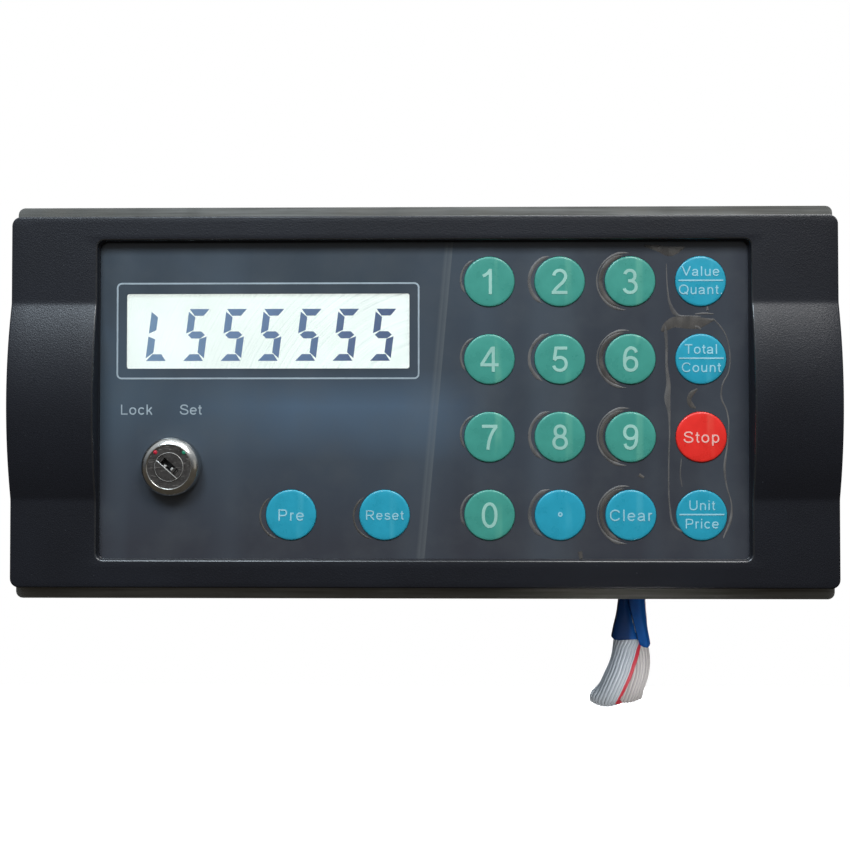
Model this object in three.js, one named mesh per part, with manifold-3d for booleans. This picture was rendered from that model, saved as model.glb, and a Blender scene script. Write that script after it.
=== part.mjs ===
// Preset keypad and display unit of a fuel dispenser. Millimetres, +Z up, +X right,
// display facing -Y. The origin is the centre of the mounting plate's rear face, the
// plane that seats on the pump's front panel.
import * as THREE from 'three';
import { mergeVertices } from 'three/addons/utils/BufferGeometryUtils.js';
import Module from 'manifold-3d';

const wasm = await Module();
wasm.setup();

// ---------------------------------------------------------------- driving dimensions
const GAP = 0.3;                      // clearance between pieces that touch

const BEZEL_WIDTH = 300;
const BEZEL_HEIGHT = 135;
const BEZEL_CORNER = 3.3;
const BEZEL_FACE = -8.5;              // flat front face of the bezel
const BEZEL_REAR = -1.8;
const WINDOW_WIDTH = 237.2;           // opening that frames the keypad
const WINDOW_HEIGHT = 116.9;
const WINDOW_Z = 0.3;
const WINDOW_CORNER = 2.5;
const WING_RISE = 5;                  // how far each end bulges in front of the face
const WING_CHORD = 71;                // height of the bulge, crease to crease
const WING_Z = 0.1;
const POCKET_WIDTH = 24;              // hollow behind each bulge
const POCKET_HEIGHT = 56;

const PLATE_WIDTH = 300;
const PLATE_HEIGHT = 144;
const PLATE_THICKNESS = 1.5;
const STUD_SPACING_X = 250;
const STUD_SPACING_Z = 134;
const STUD_RADIUS = 2;
const STUD_LENGTH = 14;

const FILM_FRONT = -5;
const FILM_THICKNESS = 0.5;
const SPACER_FRONT = -4.2;
const SPACER_THICKNESS = 1.7;
const DOME_SHEET_THICKNESS = 0.4;
const DOME_HEIGHT = 0.5;
const DOME_TOP_RADIUS = 3.2;
const DOME_BASE_RADIUS = 6;
const TAIL_X = 20;                    // flat tail that leads the keypad circuit to the board
const TAIL_Z = 1.3;
const TAIL_WIDTH = 12;
const TAIL_THICKNESS = 0.4;
const TAIL_REAR = 8;

const KEY_RADIUS = 9.2;
const KEY_FRONT = -5.5;
const KEY_REAR = -3.5;
const KEY_FLANGE_RADIUS = 9.9;
const KEY_FLANGE_FRONT = -4.2;
const KEY_PITCH_X = 25.6;
const KEY_PITCH_Z = 28.35;
const KEY_FIRST_X = 24.2;
const KEY_FIRST_Z = 43.8;
const PRESET_X = -48.1;
const RESET_X = -14;
const ROUND_SIDES = 16;               // sides of the keys and of the holes around them

const LCD_X = -56.8;
const LCD_Z = 25.9;
const LENS_WIDTH = 103.5;
const LENS_HEIGHT = 27.3;
const LCD_WIDTH = 108;
const LCD_HEIGHT = 32;
const LCD_FRONT = -4.1;
const LCD_GLASS_THICKNESS = 2.8;
const BACKLIGHT_THICKNESS = 5.6;
const LCD_WALL = 1.4;
const LCD_HEADER_WIDTH = 96;
const LCD_HEADER_HEIGHT = 2.6;

const LOCK_X = -91.6;
const LOCK_Z = -23.7;
const LOCK_FACE = -11;
const LOCK_HEAD_RADIUS = 10.5;
const LOCK_FACE_RADIUS = 8.2;
const LOCK_THREAD_RADIUS = 7.9;
const LOCK_REAR = 20;
const PLUG_RADIUS = 5.2;
const PLUG_TAIL_RADIUS = 3;
const KEYWAY_WIDTH = 2;
const KEYWAY_LENGTH = 7.4;
const KEYWAY_DEPTH = 7;
const NUT_RADIUS = 12.6;              // across the corners of its six sides
const NUT_REAR = 4.5;
const CAM_REACH = 16;
const CAM_HALF_WIDTH = 4.5;
const CAM_THICKNESS = 1.6;
const SWITCH_WIDTH = 20;
const SWITCH_HEIGHT = 6.5;
const SWITCH_DEPTH = 10;
const SWITCH_BUTTON_TRAVEL = 0.7;

const COVER_WIDTH = 256;
const COVER_HEIGHT = 108;
const COVER_REAR = 33;
const COVER_WALL = 1.2;
const COVER_CORNER = 4;
const COVER_FLANGE_WIDTH = 276;
const COVER_FLANGE_HEIGHT = 124;
const CASE_SCREW_X = 133;
const CASE_SCREW_Z = 50;
const CASE_SCREW_RADIUS = 1.5;
const CASE_SCREW_HEAD_RADIUS = 3.2;
const CASE_SCREW_HEAD_HEIGHT = 2;
const BRIDGE_WIDTH = 5;               // loop on the cover's back that takes the cable tie
const BRIDGE_CLEARANCE = 2.1;

const BOARD_FRONT = 14;
const BOARD_THICKNESS = 1.6;
const BOARD_TOP = 46;
const BOARD_BOTTOM = -43;
const BOARD_LEFT = -122;
const BOARD_RIGHT = 112;
const NOTCH_RIGHT = -72;              // corner cut away so that the board clears the lock
const NOTCH_TOP = -8;
const POST_PLACES = [[-117.5, 30], [106, 40], [106, -40], [-66, -40]];
const POST_HOLE_RADIUS = 1.8;
const POST_FOOT_RADIUS = 4;
const POST_RADIUS = 2.7;
const POST_NECK_RADIUS = 1.4;
const POST_SNAP_RADIUS = 2.2;
const CHIP_CENTRE = [25, 5];
const CHIP_SIDE = 14;
const CHIP_THICKNESS = 2;
const BUZZER_CENTRE = [62, 22];
const BUZZER_RADIUS = 6;
const BUZZER_HEIGHT = 9;

const RIBBON_X = 77.4;                // where both ribbons leave the cover
const RIBBON_Y = 12;
const RIBBON_WIDTH = 12.7;
const RIBBON_THICKNESS = 0.9;
const SLOT_WIDTH = 16;
const SLOT_DEPTH = 8;
const SOCKET_WIDTH = 17.2;
const SOCKET_BOTTOM = -42;
const SOCKET_TOP = -33;
const SOCKET_DEPTH = 9;
const GROMMET_OPENING_WIDTH = 14.2;
const GROMMET_OPENING_DEPTH = 4.8;
const GROMMET_LIP = 2.4;              // how far it hangs below the cover
const SLEEVE_WIDTH = 15.2;
const SLEEVE_DEPTH = 5;
const SLEEVE_WALL = 0.6;
const SLEEVE_BOTTOM = -88.5;
const HANK_A_X = 67;
const HANK_B_X = 87;
const HANK_FIRST_LEG_Y = 37.6;
const HANK_LEG_STEP = 5.4;
const HANK_LEGS = 4;
const HANK_BOTTOM = -47.6;
const HANK_TOP = 37;
const TIE_Z = -5;
const TIE_WIDTH = 4.6;
const TIE_THICKNESS = 1.1;
const TIE_HEAD_WIDTH = 7;
const TIE_HEAD_HEIGHT = 7.6;
const TIE_HEAD_DEPTH = 4.5;
const PLUG_HOUSING_WIDTH = 17.3;      // ten-way connector crimped on each ribbon
const PLUG_HOUSING_HEIGHT = 6.2;
const PLUG_HOUSING_FRONT = 3;         // in front of the ribbon it is crimped on
const PLUG_HOUSING_REAR = 8.8;
const PLUG_RIB_WIDTH = 4.4;
const PLUG_RIB_HEIGHT = 1;

// The routes are the centre lines of the two ribbons between the sockets on the board and
// the hanks: out of the slot, down below the plate, round a loose U and up behind the cover.
const RIBBON_A_ROUTE = [
  [77.4, 9.2, -42.3], [77.4, 9.7, -46.5], [77.4, 11, -51.5], [77.4, 11.3, -57],
  [77.4, 11.3, -67], [77.4, 11.3, -78], [77, 11.1, -88], [76, 10.9, -95.5],
  [74.2, 11.9, -102], [71.4, 15.2, -109], [69.8, 20.6, -114.2], [71.2, 27.4, -116.1],
  [74.6, 34, -114], [78.6, 38.4, -108.3], [81.4, 40.2, -100.5], [82.2, 40.5, -92],
  [82.4, 40.5, -83], [82.5, 40.5, -77], [79.6, 40.4, -69.8], [74.2, 39.9, -62],
  [69.6, 38.8, -55.4], [67.3, 37.9, -51.2], [67, 37.6, -47.9],
];
const RIBBON_B_ROUTE = [
  [77.4, 17.4, -42.3], [77.4, 16.7, -45.2], [77.4, 13.9, -48.8], [77.4, 12.8, -52.5],
  [77.4, 12.7, -67], [77.4, 12.6, -80], [77.5, 12.6, -87.5], [80.1, 14.9, -94.5],
  [80.5, 16.6, -101], [78.9, 19.3, -108.6], [78, 22.9, -113.3], [78.4, 27.8, -114.8],
  [79.8, 32.6, -112.2], [81.2, 35.9, -105.8], [82, 37.3, -98], [82.1, 37.6, -89],
  [82.2, 37.7, -81], [82.2, 37.7, -74], [84, 37.8, -66], [86.2, 37.7, -57],
  [87, 37.6, -51.5], [87, 37.6, -47.9],
];

// ---------------------------------------------------------------- materials
function finish(colour, roughness, metalness = 0) {
  return new THREE.MeshStandardMaterial({ color: colour, roughness, metalness });
}

const BLACK_PLASTIC = finish(0x24272c, 0.55);
const FILM = finish(0x46535d, 0.3);
const CLEAR = finish(0xe8f4f2, 0.05);
const GREEN = finish(0x4b9a8c, 0.4);
const BLUE = finish(0x2da5bf, 0.4);
const RED = finish(0xe4362d, 0.4);
const STEEL = finish(0x82817c, 0.4, 0.9);
const CHROME = finish(0xc8c8c6, 0.15, 1);
const ZINC = finish(0x9fa3a6, 0.45, 0.9);
const BOARD_GREEN = finish(0x1f5c3c, 0.5);
const WHITE_PLASTIC = finish(0xe9e9e4, 0.5);
const RUBBER = finish(0x1b1b1c, 0.8);
const RIBBON_GREY = finish(0x989ea7, 0.5);
const TAPE_BLUE = finish(0x14406f, 0.35);

// ---------------------------------------------------------------- solids and booleans
function toSolid(geometry) {
  const bare = geometry.clone();
  bare.deleteAttribute('normal');
  bare.deleteAttribute('uv');
  const merged = mergeVertices(bare, 1e-4);
  const index = merged.index.array;
  const triangles = [];
  for (let i = 0; i < index.length; i += 3) {
    const [a, b, c] = [index[i], index[i + 1], index[i + 2]];
    if (a !== b && b !== c && c !== a) {
      triangles.push(a, b, c);
    }
  }
  return new wasm.Manifold(new wasm.Mesh({
    numProp: 3,
    vertProperties: merged.attributes.position.array,
    triVerts: Uint32Array.from(triangles),
  }));
}

function toGeometry(solid) {
  const mesh = solid.getMesh();
  const geometry = new THREE.BufferGeometry();
  geometry.setAttribute('position', new THREE.BufferAttribute(mesh.vertProperties, 3));
  geometry.setIndex(new THREE.BufferAttribute(mesh.triVerts, 1));
  return geometry;
}

function join(first, ...others) {
  return toGeometry(others.reduce((whole, one) => whole.add(toSolid(one)), toSolid(first)));
}

function cut(first, ...tools) {
  return toGeometry(tools.reduce((rest, one) => rest.subtract(toSolid(one)), toSolid(first)));
}

// ---------------------------------------------------------------- outlines and basic forms
function roundedRectangle(width, height, radius, x = 0, z = 0, steps = 4) {
  const points = [];
  const quarters = [[1, 1], [-1, 1], [-1, -1], [1, -1]];
  quarters.forEach(([sideX, sideZ], quarter) => {
    for (let step = 0; step <= steps; step += 1) {
      const angle = (quarter + step / steps) * Math.PI / 2;
      points.push(new THREE.Vector2(
        x + sideX * (width / 2 - radius) + radius * Math.cos(angle),
        z + sideZ * (height / 2 - radius) + radius * Math.sin(angle),
      ));
    }
  });
  return points;
}

function circle(radius, x = 0, z = 0, sides = ROUND_SIDES) {
  const points = [];
  for (let side = 0; side < sides; side += 1) {
    const angle = (side / sides) * Math.PI * 2;
    points.push(new THREE.Vector2(x + radius * Math.cos(angle), z + radius * Math.sin(angle)));
  }
  return points;
}

// A flat piece parallel to the face: the outline lies in X and Z, from `front` to `rear` in Y.
function slab(outline, front, rear, holes = []) {
  const shape = new THREE.Shape(outline);
  shape.holes = holes.map((points) => new THREE.Path(points));
  const geometry = new THREE.ExtrudeGeometry(shape, { depth: rear - front, bevelEnabled: false });
  geometry.rotateX(Math.PI / 2);
  geometry.translate(0, rear, 0);
  return geometry;
}

// The same with its holes cut out one by one, for a sheet with many of them.
function punchedSheet(outline, front, rear, holes) {
  return cut(slab(outline, front, rear),
    ...holes.map((points) => slab(points, front - 1, rear + 1)));
}

// A piece turned about an axis along Y: the profile lists [radius, y] pairs, front to rear.
function turned(profile, sides, x, z) {
  const points = profile.map(([radius, y]) => new THREE.Vector2(radius, y));
  const geometry = new THREE.LatheGeometry(points, sides);
  geometry.translate(x, 0, z);
  return geometry;
}

function block(lowX, highX, lowY, highY, lowZ, highZ) {
  const geometry = new THREE.BoxGeometry(highX - lowX, highY - lowY, highZ - lowZ);
  geometry.translate((lowX + highX) / 2, (lowY + highY) / 2, (lowZ + highZ) / 2);
  return geometry;
}

// A piece with an upright outline in X and Y, from `bottom` to `top` in Z.
function column(outline, bottom, top, holes = []) {
  const shape = new THREE.Shape(outline);
  shape.holes = holes.map((points) => new THREE.Path(points));
  const geometry = new THREE.ExtrudeGeometry(shape, { depth: top - bottom, bevelEnabled: false });
  geometry.translate(0, 0, bottom);
  return geometry;
}

const boardRearFace = BOARD_FRONT + BOARD_THICKNESS + GAP;

const caseScrewPlaces = [];
for (const sideX of [-1, 1]) {
  for (const sideZ of [1, -1]) {
    caseScrewPlaces.push([sideX * CASE_SCREW_X, sideZ * CASE_SCREW_Z]);
  }
}

// ---------------------------------------------------------------- front bezel
// One bulge of the bezel: a shallow arc seen from the side, as wide as the end of the frame.
function wing(side) {
  const halfChord = WING_CHORD / 2;
  const radius = (halfChord ** 2 + WING_RISE ** 2) / (2 * WING_RISE);
  const halfAngle = Math.asin(halfChord / radius);
  const steps = 14;
  const outline = [];
  for (let step = 0; step <= steps; step += 1) {
    const angle = halfAngle * (1 - 2 * step / steps);
    const rise = radius * Math.cos(angle) - (radius - WING_RISE);
    outline.push(new THREE.Vector2(rise - BEZEL_FACE, WING_Z + radius * Math.sin(angle)));
  }
  outline.push(new THREE.Vector2(-BEZEL_FACE - 1, WING_Z - halfChord));
  outline.push(new THREE.Vector2(-BEZEL_FACE - 1, WING_Z + halfChord));
  const width = (BEZEL_WIDTH - WINDOW_WIDTH) / 2;
  const geometry = new THREE.ExtrudeGeometry(
    new THREE.Shape(outline), { depth: width, bevelEnabled: false });
  const turn = new THREE.Matrix4().makeBasis(
    new THREE.Vector3(0, -1, 0), new THREE.Vector3(0, 0, 1), new THREE.Vector3(-1, 0, 0));
  geometry.applyMatrix4(turn);
  geometry.translate(side > 0 ? BEZEL_WIDTH / 2 : -WINDOW_WIDTH / 2, 0, 0);
  return geometry;
}

function frontBezel() {
  const frame = slab(
    roundedRectangle(BEZEL_WIDTH, BEZEL_HEIGHT, BEZEL_CORNER), BEZEL_FACE, BEZEL_REAR,
    [roundedRectangle(WINDOW_WIDTH, WINDOW_HEIGHT, WINDOW_CORNER, 0, WINDOW_Z)]);
  const whole = join(frame, wing(-1), wing(1));
  const pockets = [-1, 1].map((side) => {
    const middle = side * (BEZEL_WIDTH + WINDOW_WIDTH) / 4;
    return block(middle - POCKET_WIDTH / 2, middle + POCKET_WIDTH / 2, BEZEL_FACE, BEZEL_REAR + 1,
      -POCKET_HEIGHT / 2, POCKET_HEIGHT / 2);
  });
  const pilots = caseScrewPlaces.map(([x, z]) => slab(
    circle(CASE_SCREW_RADIUS + GAP, x, z, 12), BEZEL_FACE + 1.5, BEZEL_REAR + 1));
  return cut(whole, ...pockets, ...pilots);
}

// ---------------------------------------------------------------- keypad stack
const keyPlaces = [
  ['key_1', 0, 0], ['key_2', 1, 0], ['key_3', 2, 0], ['key_value', 3, 0],
  ['key_4', 0, 1], ['key_5', 1, 1], ['key_6', 2, 1], ['key_total', 3, 1],
  ['key_7', 0, 2], ['key_8', 1, 2], ['key_9', 2, 2], ['key_stop', 3, 2],
  ['key_0', 0, 3], ['key_dot', 1, 3], ['key_clear', 2, 3], ['key_price', 3, 3],
].map(([name, across, down]) => (
  [name, KEY_FIRST_X + across * KEY_PITCH_X, KEY_FIRST_Z - down * KEY_PITCH_Z]));
const bottomRowZ = KEY_FIRST_Z - 3 * KEY_PITCH_Z;
keyPlaces.push(['key_preset', PRESET_X, bottomRowZ], ['key_reset', RESET_X, bottomRowZ]);

function keyHoles(radius) {
  return keyPlaces.map(([, x, z]) => circle(radius, x, z));
}

function lcdCutout(margin) {
  const width = LCD_WIDTH + 2 * (LCD_WALL + GAP + margin);
  const height = LCD_HEIGHT + 2 * (LCD_WALL + GAP + margin);
  return roundedRectangle(width, height, 0.4, LCD_X, LCD_Z, 2);
}

function overlayFilm() {
  const outline = roundedRectangle(
    WINDOW_WIDTH - 2 * GAP, WINDOW_HEIGHT - 2 * GAP, WINDOW_CORNER - GAP, 0, WINDOW_Z);
  const lensHole = roundedRectangle(
    LENS_WIDTH + 2 * GAP, LENS_HEIGHT + 2 * GAP, 1, LCD_X, LCD_Z, 2);
  const lockHole = circle(LOCK_THREAD_RADIUS + GAP, LOCK_X, LOCK_Z);
  return punchedSheet(outline, FILM_FRONT, FILM_FRONT + FILM_THICKNESS,
    [lensHole, lockHole, ...keyHoles(KEY_RADIUS + GAP)]);
}

function displayLens() {
  const outline = roundedRectangle(LENS_WIDTH, LENS_HEIGHT, 0.7, LCD_X, LCD_Z, 2);
  return slab(outline, FILM_FRONT + 0.05, FILM_FRONT + FILM_THICKNESS);
}

function keySpacer() {
  const outline = roundedRectangle(
    WINDOW_WIDTH - 3, WINDOW_HEIGHT - 3, WINDOW_CORNER, 0, WINDOW_Z);
  const lockHole = circle(LOCK_THREAD_RADIUS + 2 * GAP, LOCK_X, LOCK_Z);
  return punchedSheet(outline, SPACER_FRONT, SPACER_FRONT + SPACER_THICKNESS,
    [lcdCutout(0.2), lockHole, ...keyHoles(KEY_FLANGE_RADIUS + GAP)]);
}

// The printed circuit of the keypad, with one snap dome under each key.
function domeSheet() {
  const rear = -PLATE_THICKNESS - GAP;
  const front = rear - DOME_SHEET_THICKNESS;
  const outline = [[-60, -53], [113, -53], [113, 56], [12, 56], [12, -29], [-60, -29]]
    .map(([x, z]) => new THREE.Vector2(x, z));
  const domes = keyPlaces.map(([, x, z]) => turned([
    [0, front - DOME_HEIGHT], [DOME_TOP_RADIUS, front - DOME_HEIGHT], [DOME_BASE_RADIUS, front],
    [DOME_BASE_RADIUS, front + 0.1], [0, front + 0.1],
  ], 10, x, z));
  return join(slab(outline, front, rear), ...domes);
}

function keyCap(x, z) {
  return turned([
    [0, KEY_FRONT], [KEY_RADIUS, KEY_FRONT], [KEY_RADIUS, KEY_FLANGE_FRONT],
    [KEY_FLANGE_RADIUS, KEY_FLANGE_FRONT], [KEY_FLANGE_RADIUS, KEY_REAR], [0, KEY_REAR],
  ], ROUND_SIDES, x, z);
}

function keyMaterial(name) {
  if (name === 'key_stop') {
    return RED;
  }
  return /^key_\d$/.test(name) ? GREEN : BLUE;
}

function membraneTail() {
  return block(TAIL_X - TAIL_WIDTH / 2, TAIL_X + TAIL_WIDTH / 2,
    -PLATE_THICKNESS, TAIL_REAR, TAIL_Z - TAIL_THICKNESS / 2, TAIL_Z + TAIL_THICKNESS / 2);
}

function tailConnector() {
  const shroud = 2;
  const halfWidth = TAIL_WIDTH / 2 + shroud;
  return block(TAIL_X - halfWidth, TAIL_X + halfWidth,
    TAIL_REAR + GAP, BOARD_FRONT - GAP, TAIL_Z - shroud, TAIL_Z + shroud);
}

// ---------------------------------------------------------------- mounting plate
function mountingPlate() {
  const outline = roundedRectangle(PLATE_WIDTH, PLATE_HEIGHT, 2.5);
  const screwHoles = caseScrewPlaces.map(([x, z]) => circle(CASE_SCREW_RADIUS + GAP, x, z, 12));
  const lockHole = circle(LOCK_THREAD_RADIUS + GAP, LOCK_X, LOCK_Z);
  const tailSlot = roundedRectangle(TAIL_WIDTH + 1, 2, 0.6, TAIL_X, TAIL_Z, 2);
  const plate = punchedSheet(outline, -PLATE_THICKNESS, 0,
    [lcdCutout(0.2), lockHole, tailSlot, ...screwHoles]);
  const studs = [];
  for (const sideX of [-1, 1]) {
    for (const sideZ of [-1, 1]) {
      studs.push(slab(
        circle(STUD_RADIUS, sideX * STUD_SPACING_X / 2, sideZ * STUD_SPACING_Z / 2, 16),
        -PLATE_THICKNESS / 2, STUD_LENGTH));
    }
  }
  return join(plate, ...studs);
}

// ---------------------------------------------------------------- display
function lcdBox(width, height, front, rear) {
  return block(LCD_X - width / 2, LCD_X + width / 2, front, rear,
    LCD_Z - height / 2, LCD_Z + height / 2);
}

function lcdGlass() {
  return lcdBox(LCD_WIDTH, LCD_HEIGHT, LCD_FRONT, LCD_FRONT + LCD_GLASS_THICKNESS);
}

const backlightFront = LCD_FRONT + LCD_GLASS_THICKNESS + GAP;
const backlightRear = backlightFront + BACKLIGHT_THICKNESS;
const lcdFrameRear = backlightRear + GAP + LCD_WALL;

function backlightPanel() {
  return lcdBox(LCD_WIDTH, LCD_HEIGHT, backlightFront, backlightRear);
}

function lcdFrame() {
  const outer = lcdBox(LCD_WIDTH + 2 * (LCD_WALL + GAP), LCD_HEIGHT + 2 * (LCD_WALL + GAP),
    LCD_FRONT, lcdFrameRear);
  const inner = lcdBox(LCD_WIDTH + 2 * GAP, LCD_HEIGHT + 2 * GAP,
    LCD_FRONT - 1, backlightRear + GAP);
  return cut(outer, inner);
}

function lcdHeader() {
  const bottom = LCD_Z - LCD_HEIGHT / 2;
  return block(LCD_X - LCD_HEADER_WIDTH / 2, LCD_X + LCD_HEADER_WIDTH / 2,
    lcdFrameRear + GAP, BOARD_FRONT - GAP, bottom, bottom + LCD_HEADER_HEIGHT);
}

// ---------------------------------------------------------------- lock
function lockBody() {
  const bore = PLUG_RADIUS + GAP;
  const seat = FILM_FRONT - 0.2;
  return turned([
    [bore, LOCK_FACE], [LOCK_FACE_RADIUS, LOCK_FACE], [LOCK_FACE_RADIUS + 1.2, LOCK_FACE + 0.8],
    [LOCK_HEAD_RADIUS, seat - 2.6], [LOCK_HEAD_RADIUS, seat], [LOCK_THREAD_RADIUS, seat],
    [LOCK_THREAD_RADIUS, LOCK_REAR], [bore, LOCK_REAR], [bore, LOCK_FACE],
  ], 28, LOCK_X, LOCK_Z);
}

// The plug points at the first mark at rest; its keyway leans 45 degrees.
function lockPlug() {
  const front = LOCK_FACE - 0.2;
  const rod = turned([
    [0, front], [PLUG_RADIUS, front], [PLUG_RADIUS, LOCK_REAR + GAP],
    [PLUG_TAIL_RADIUS, LOCK_REAR + GAP], [PLUG_TAIL_RADIUS, LOCK_REAR + 4], [0, LOCK_REAR + 4],
  ], 24, LOCK_X, LOCK_Z);
  const keyway = new THREE.BoxGeometry(KEYWAY_WIDTH, 2 * KEYWAY_DEPTH, KEYWAY_LENGTH);
  keyway.rotateY(-Math.PI / 4);
  keyway.translate(LOCK_X, front, LOCK_Z);
  return cut(rod, keyway);
}

function lockNut() {
  return slab(circle(NUT_RADIUS, LOCK_X, LOCK_Z, 6), GAP, NUT_REAR,
    [circle(LOCK_THREAD_RADIUS + GAP, LOCK_X, LOCK_Z, 24)]);
}

// The cam arm points left at rest and up after a quarter turn, where it meets the switch.
function lockCam() {
  const hubRadius = CAM_HALF_WIDTH * 1.3;
  const outline = [];
  const steps = 8;
  for (let step = 0; step <= steps; step += 1) {
    const angle = Math.PI / 2 + (step / steps) * Math.PI;
    outline.push(new THREE.Vector2(
      LOCK_X - CAM_REACH + CAM_HALF_WIDTH * (1 + Math.cos(angle)),
      LOCK_Z + CAM_HALF_WIDTH * Math.sin(angle)));
  }
  for (let step = 0; step <= steps; step += 1) {
    const angle = -Math.PI / 2 + (step / steps) * Math.PI;
    outline.push(new THREE.Vector2(
      LOCK_X + hubRadius * Math.cos(angle), LOCK_Z + hubRadius * Math.sin(angle)));
  }
  const front = LOCK_REAR + 2 * GAP;
  return slab(outline, front, front + CAM_THICKNESS,
    [circle(PLUG_TAIL_RADIUS + GAP, LOCK_X, LOCK_Z, 16)]);
}

function keySwitch() {
  const bottom = LOCK_Z + CAM_REACH + SWITCH_BUTTON_TRAVEL + 0.4;
  const middle = boardRearFace + SWITCH_DEPTH / 2 + 0.5;
  const body = block(LOCK_X - SWITCH_WIDTH / 2, LOCK_X + SWITCH_WIDTH / 2,
    boardRearFace, boardRearFace + SWITCH_DEPTH, bottom, bottom + SWITCH_HEIGHT);
  const button = block(LOCK_X - 1.5, LOCK_X + 1.5, middle - 1.5, middle + 1.5,
    bottom - SWITCH_BUTTON_TRAVEL, bottom + 1);
  return join(body, button);
}

// ---------------------------------------------------------------- board
function mainBoard() {
  const outline = [
    [NOTCH_RIGHT, BOARD_BOTTOM], [BOARD_RIGHT, BOARD_BOTTOM], [BOARD_RIGHT, BOARD_TOP],
    [BOARD_LEFT, BOARD_TOP], [BOARD_LEFT, NOTCH_TOP], [NOTCH_RIGHT, NOTCH_TOP],
  ].map(([x, z]) => new THREE.Vector2(x, z));
  const holes = POST_PLACES.map(([x, z]) => circle(POST_HOLE_RADIUS, x, z, 12));
  return slab(outline, BOARD_FRONT, BOARD_FRONT + BOARD_THICKNESS, holes);
}

// A moulded post: foot on the plate, shoulder under the board and a snap head behind it.
function boardPost(x, z) {
  const footRear = 2;
  const shoulder = BOARD_FRONT - GAP;
  const tip = boardRearFace + 2.1;
  return turned([
    [0, GAP], [POST_FOOT_RADIUS, GAP], [POST_FOOT_RADIUS, footRear], [POST_RADIUS, footRear],
    [POST_RADIUS, shoulder], [POST_NECK_RADIUS, shoulder], [POST_NECK_RADIUS, boardRearFace],
    [POST_SNAP_RADIUS, boardRearFace], [1, tip], [0, tip],
  ], 12, x, z);
}

function controlChip() {
  const [x, z] = CHIP_CENTRE;
  const half = CHIP_SIDE / 2;
  return block(x - half, x + half, boardRearFace, boardRearFace + CHIP_THICKNESS,
    z - half, z + half);
}

function buzzer() {
  const rear = boardRearFace + BUZZER_HEIGHT;
  return turned([
    [0, boardRearFace], [BUZZER_RADIUS, boardRearFace], [BUZZER_RADIUS, rear], [0, rear],
  ], 20, ...BUZZER_CENTRE);
}

function ribbonSocket(front) {
  return block(RIBBON_X - SOCKET_WIDTH / 2, RIBBON_X + SOCKET_WIDTH / 2,
    front, front + SOCKET_DEPTH, SOCKET_BOTTOM, SOCKET_TOP);
}

// ---------------------------------------------------------------- rear cover
// A folded pan with a flange all round, a slot for the ribbons in its bottom wall and a
// bridge on its back for the cable tie.
function rearCover() {
  const wall = COVER_WALL;
  const flangeHoles = caseScrewPlaces.map(([x, z]) => circle(CASE_SCREW_RADIUS + GAP, x, z, 12));
  const flange = slab(roundedRectangle(COVER_FLANGE_WIDTH, COVER_FLANGE_HEIGHT, COVER_CORNER),
    GAP, GAP + wall, flangeHoles);
  const body = slab(roundedRectangle(COVER_WIDTH, COVER_HEIGHT, COVER_CORNER), GAP, COVER_REAR);
  const inside = slab(roundedRectangle(
    COVER_WIDTH - 2 * wall, COVER_HEIGHT - 2 * wall, COVER_CORNER - wall),
  GAP - 1, COVER_REAR - wall);
  const slot = block(RIBBON_X - SLOT_WIDTH / 2, RIBBON_X + SLOT_WIDTH / 2,
    RIBBON_Y - SLOT_DEPTH / 2, RIBBON_Y + SLOT_DEPTH / 2,
    -COVER_HEIGHT / 2 - 1, -COVER_HEIGHT / 2 + 2 * wall);
  const bridgeX = (HANK_A_X + HANK_B_X) / 2;
  const bridgeInner = COVER_REAR + BRIDGE_CLEARANCE;
  const halfSpan = TIE_WIDTH / 2 + 0.8;
  const bridge = block(bridgeX - BRIDGE_WIDTH / 2, bridgeX + BRIDGE_WIDTH / 2,
    COVER_REAR - 0.5, bridgeInner + wall, TIE_Z - halfSpan - wall, TIE_Z + halfSpan + wall);
  const underBridge = block(bridgeX - BRIDGE_WIDTH, bridgeX + BRIDGE_WIDTH,
    COVER_REAR, bridgeInner, TIE_Z - halfSpan, TIE_Z + halfSpan);
  return cut(join(flange, body, bridge), inside, slot, underBridge);
}

function cableGrommet() {
  const bottom = -COVER_HEIGHT / 2;
  const opening = roundedRectangle(
    GROMMET_OPENING_WIDTH, GROMMET_OPENING_DEPTH, 1, RIBBON_X, RIBBON_Y, 3);
  const neck = column(
    roundedRectangle(SLOT_WIDTH - 2 * GAP, SLOT_DEPTH - 2 * GAP, 1.2, RIBBON_X, RIBBON_Y, 3),
    bottom - GAP, bottom + COVER_WALL + 0.8);
  const lip = column(
    roundedRectangle(SLOT_WIDTH + 3, SLOT_DEPTH + 3, 2.5, RIBBON_X, RIBBON_Y, 3),
    bottom - GROMMET_LIP, bottom - GAP);
  return cut(join(neck, lip), column(opening, bottom - 4, bottom + 4));
}

function caseScrew(x, z) {
  const tip = BEZEL_FACE + 2;
  const seat = COVER_WALL + 2 * GAP;
  const crown = seat + CASE_SCREW_HEAD_HEIGHT;
  return turned([
    [0, tip], [CASE_SCREW_RADIUS, tip], [CASE_SCREW_RADIUS, seat],
    [CASE_SCREW_HEAD_RADIUS, seat], [CASE_SCREW_HEAD_RADIUS, crown - 0.6],
    [CASE_SCREW_HEAD_RADIUS - 1.2, crown], [0, crown],
  ], 14, x, z);
}

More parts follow.
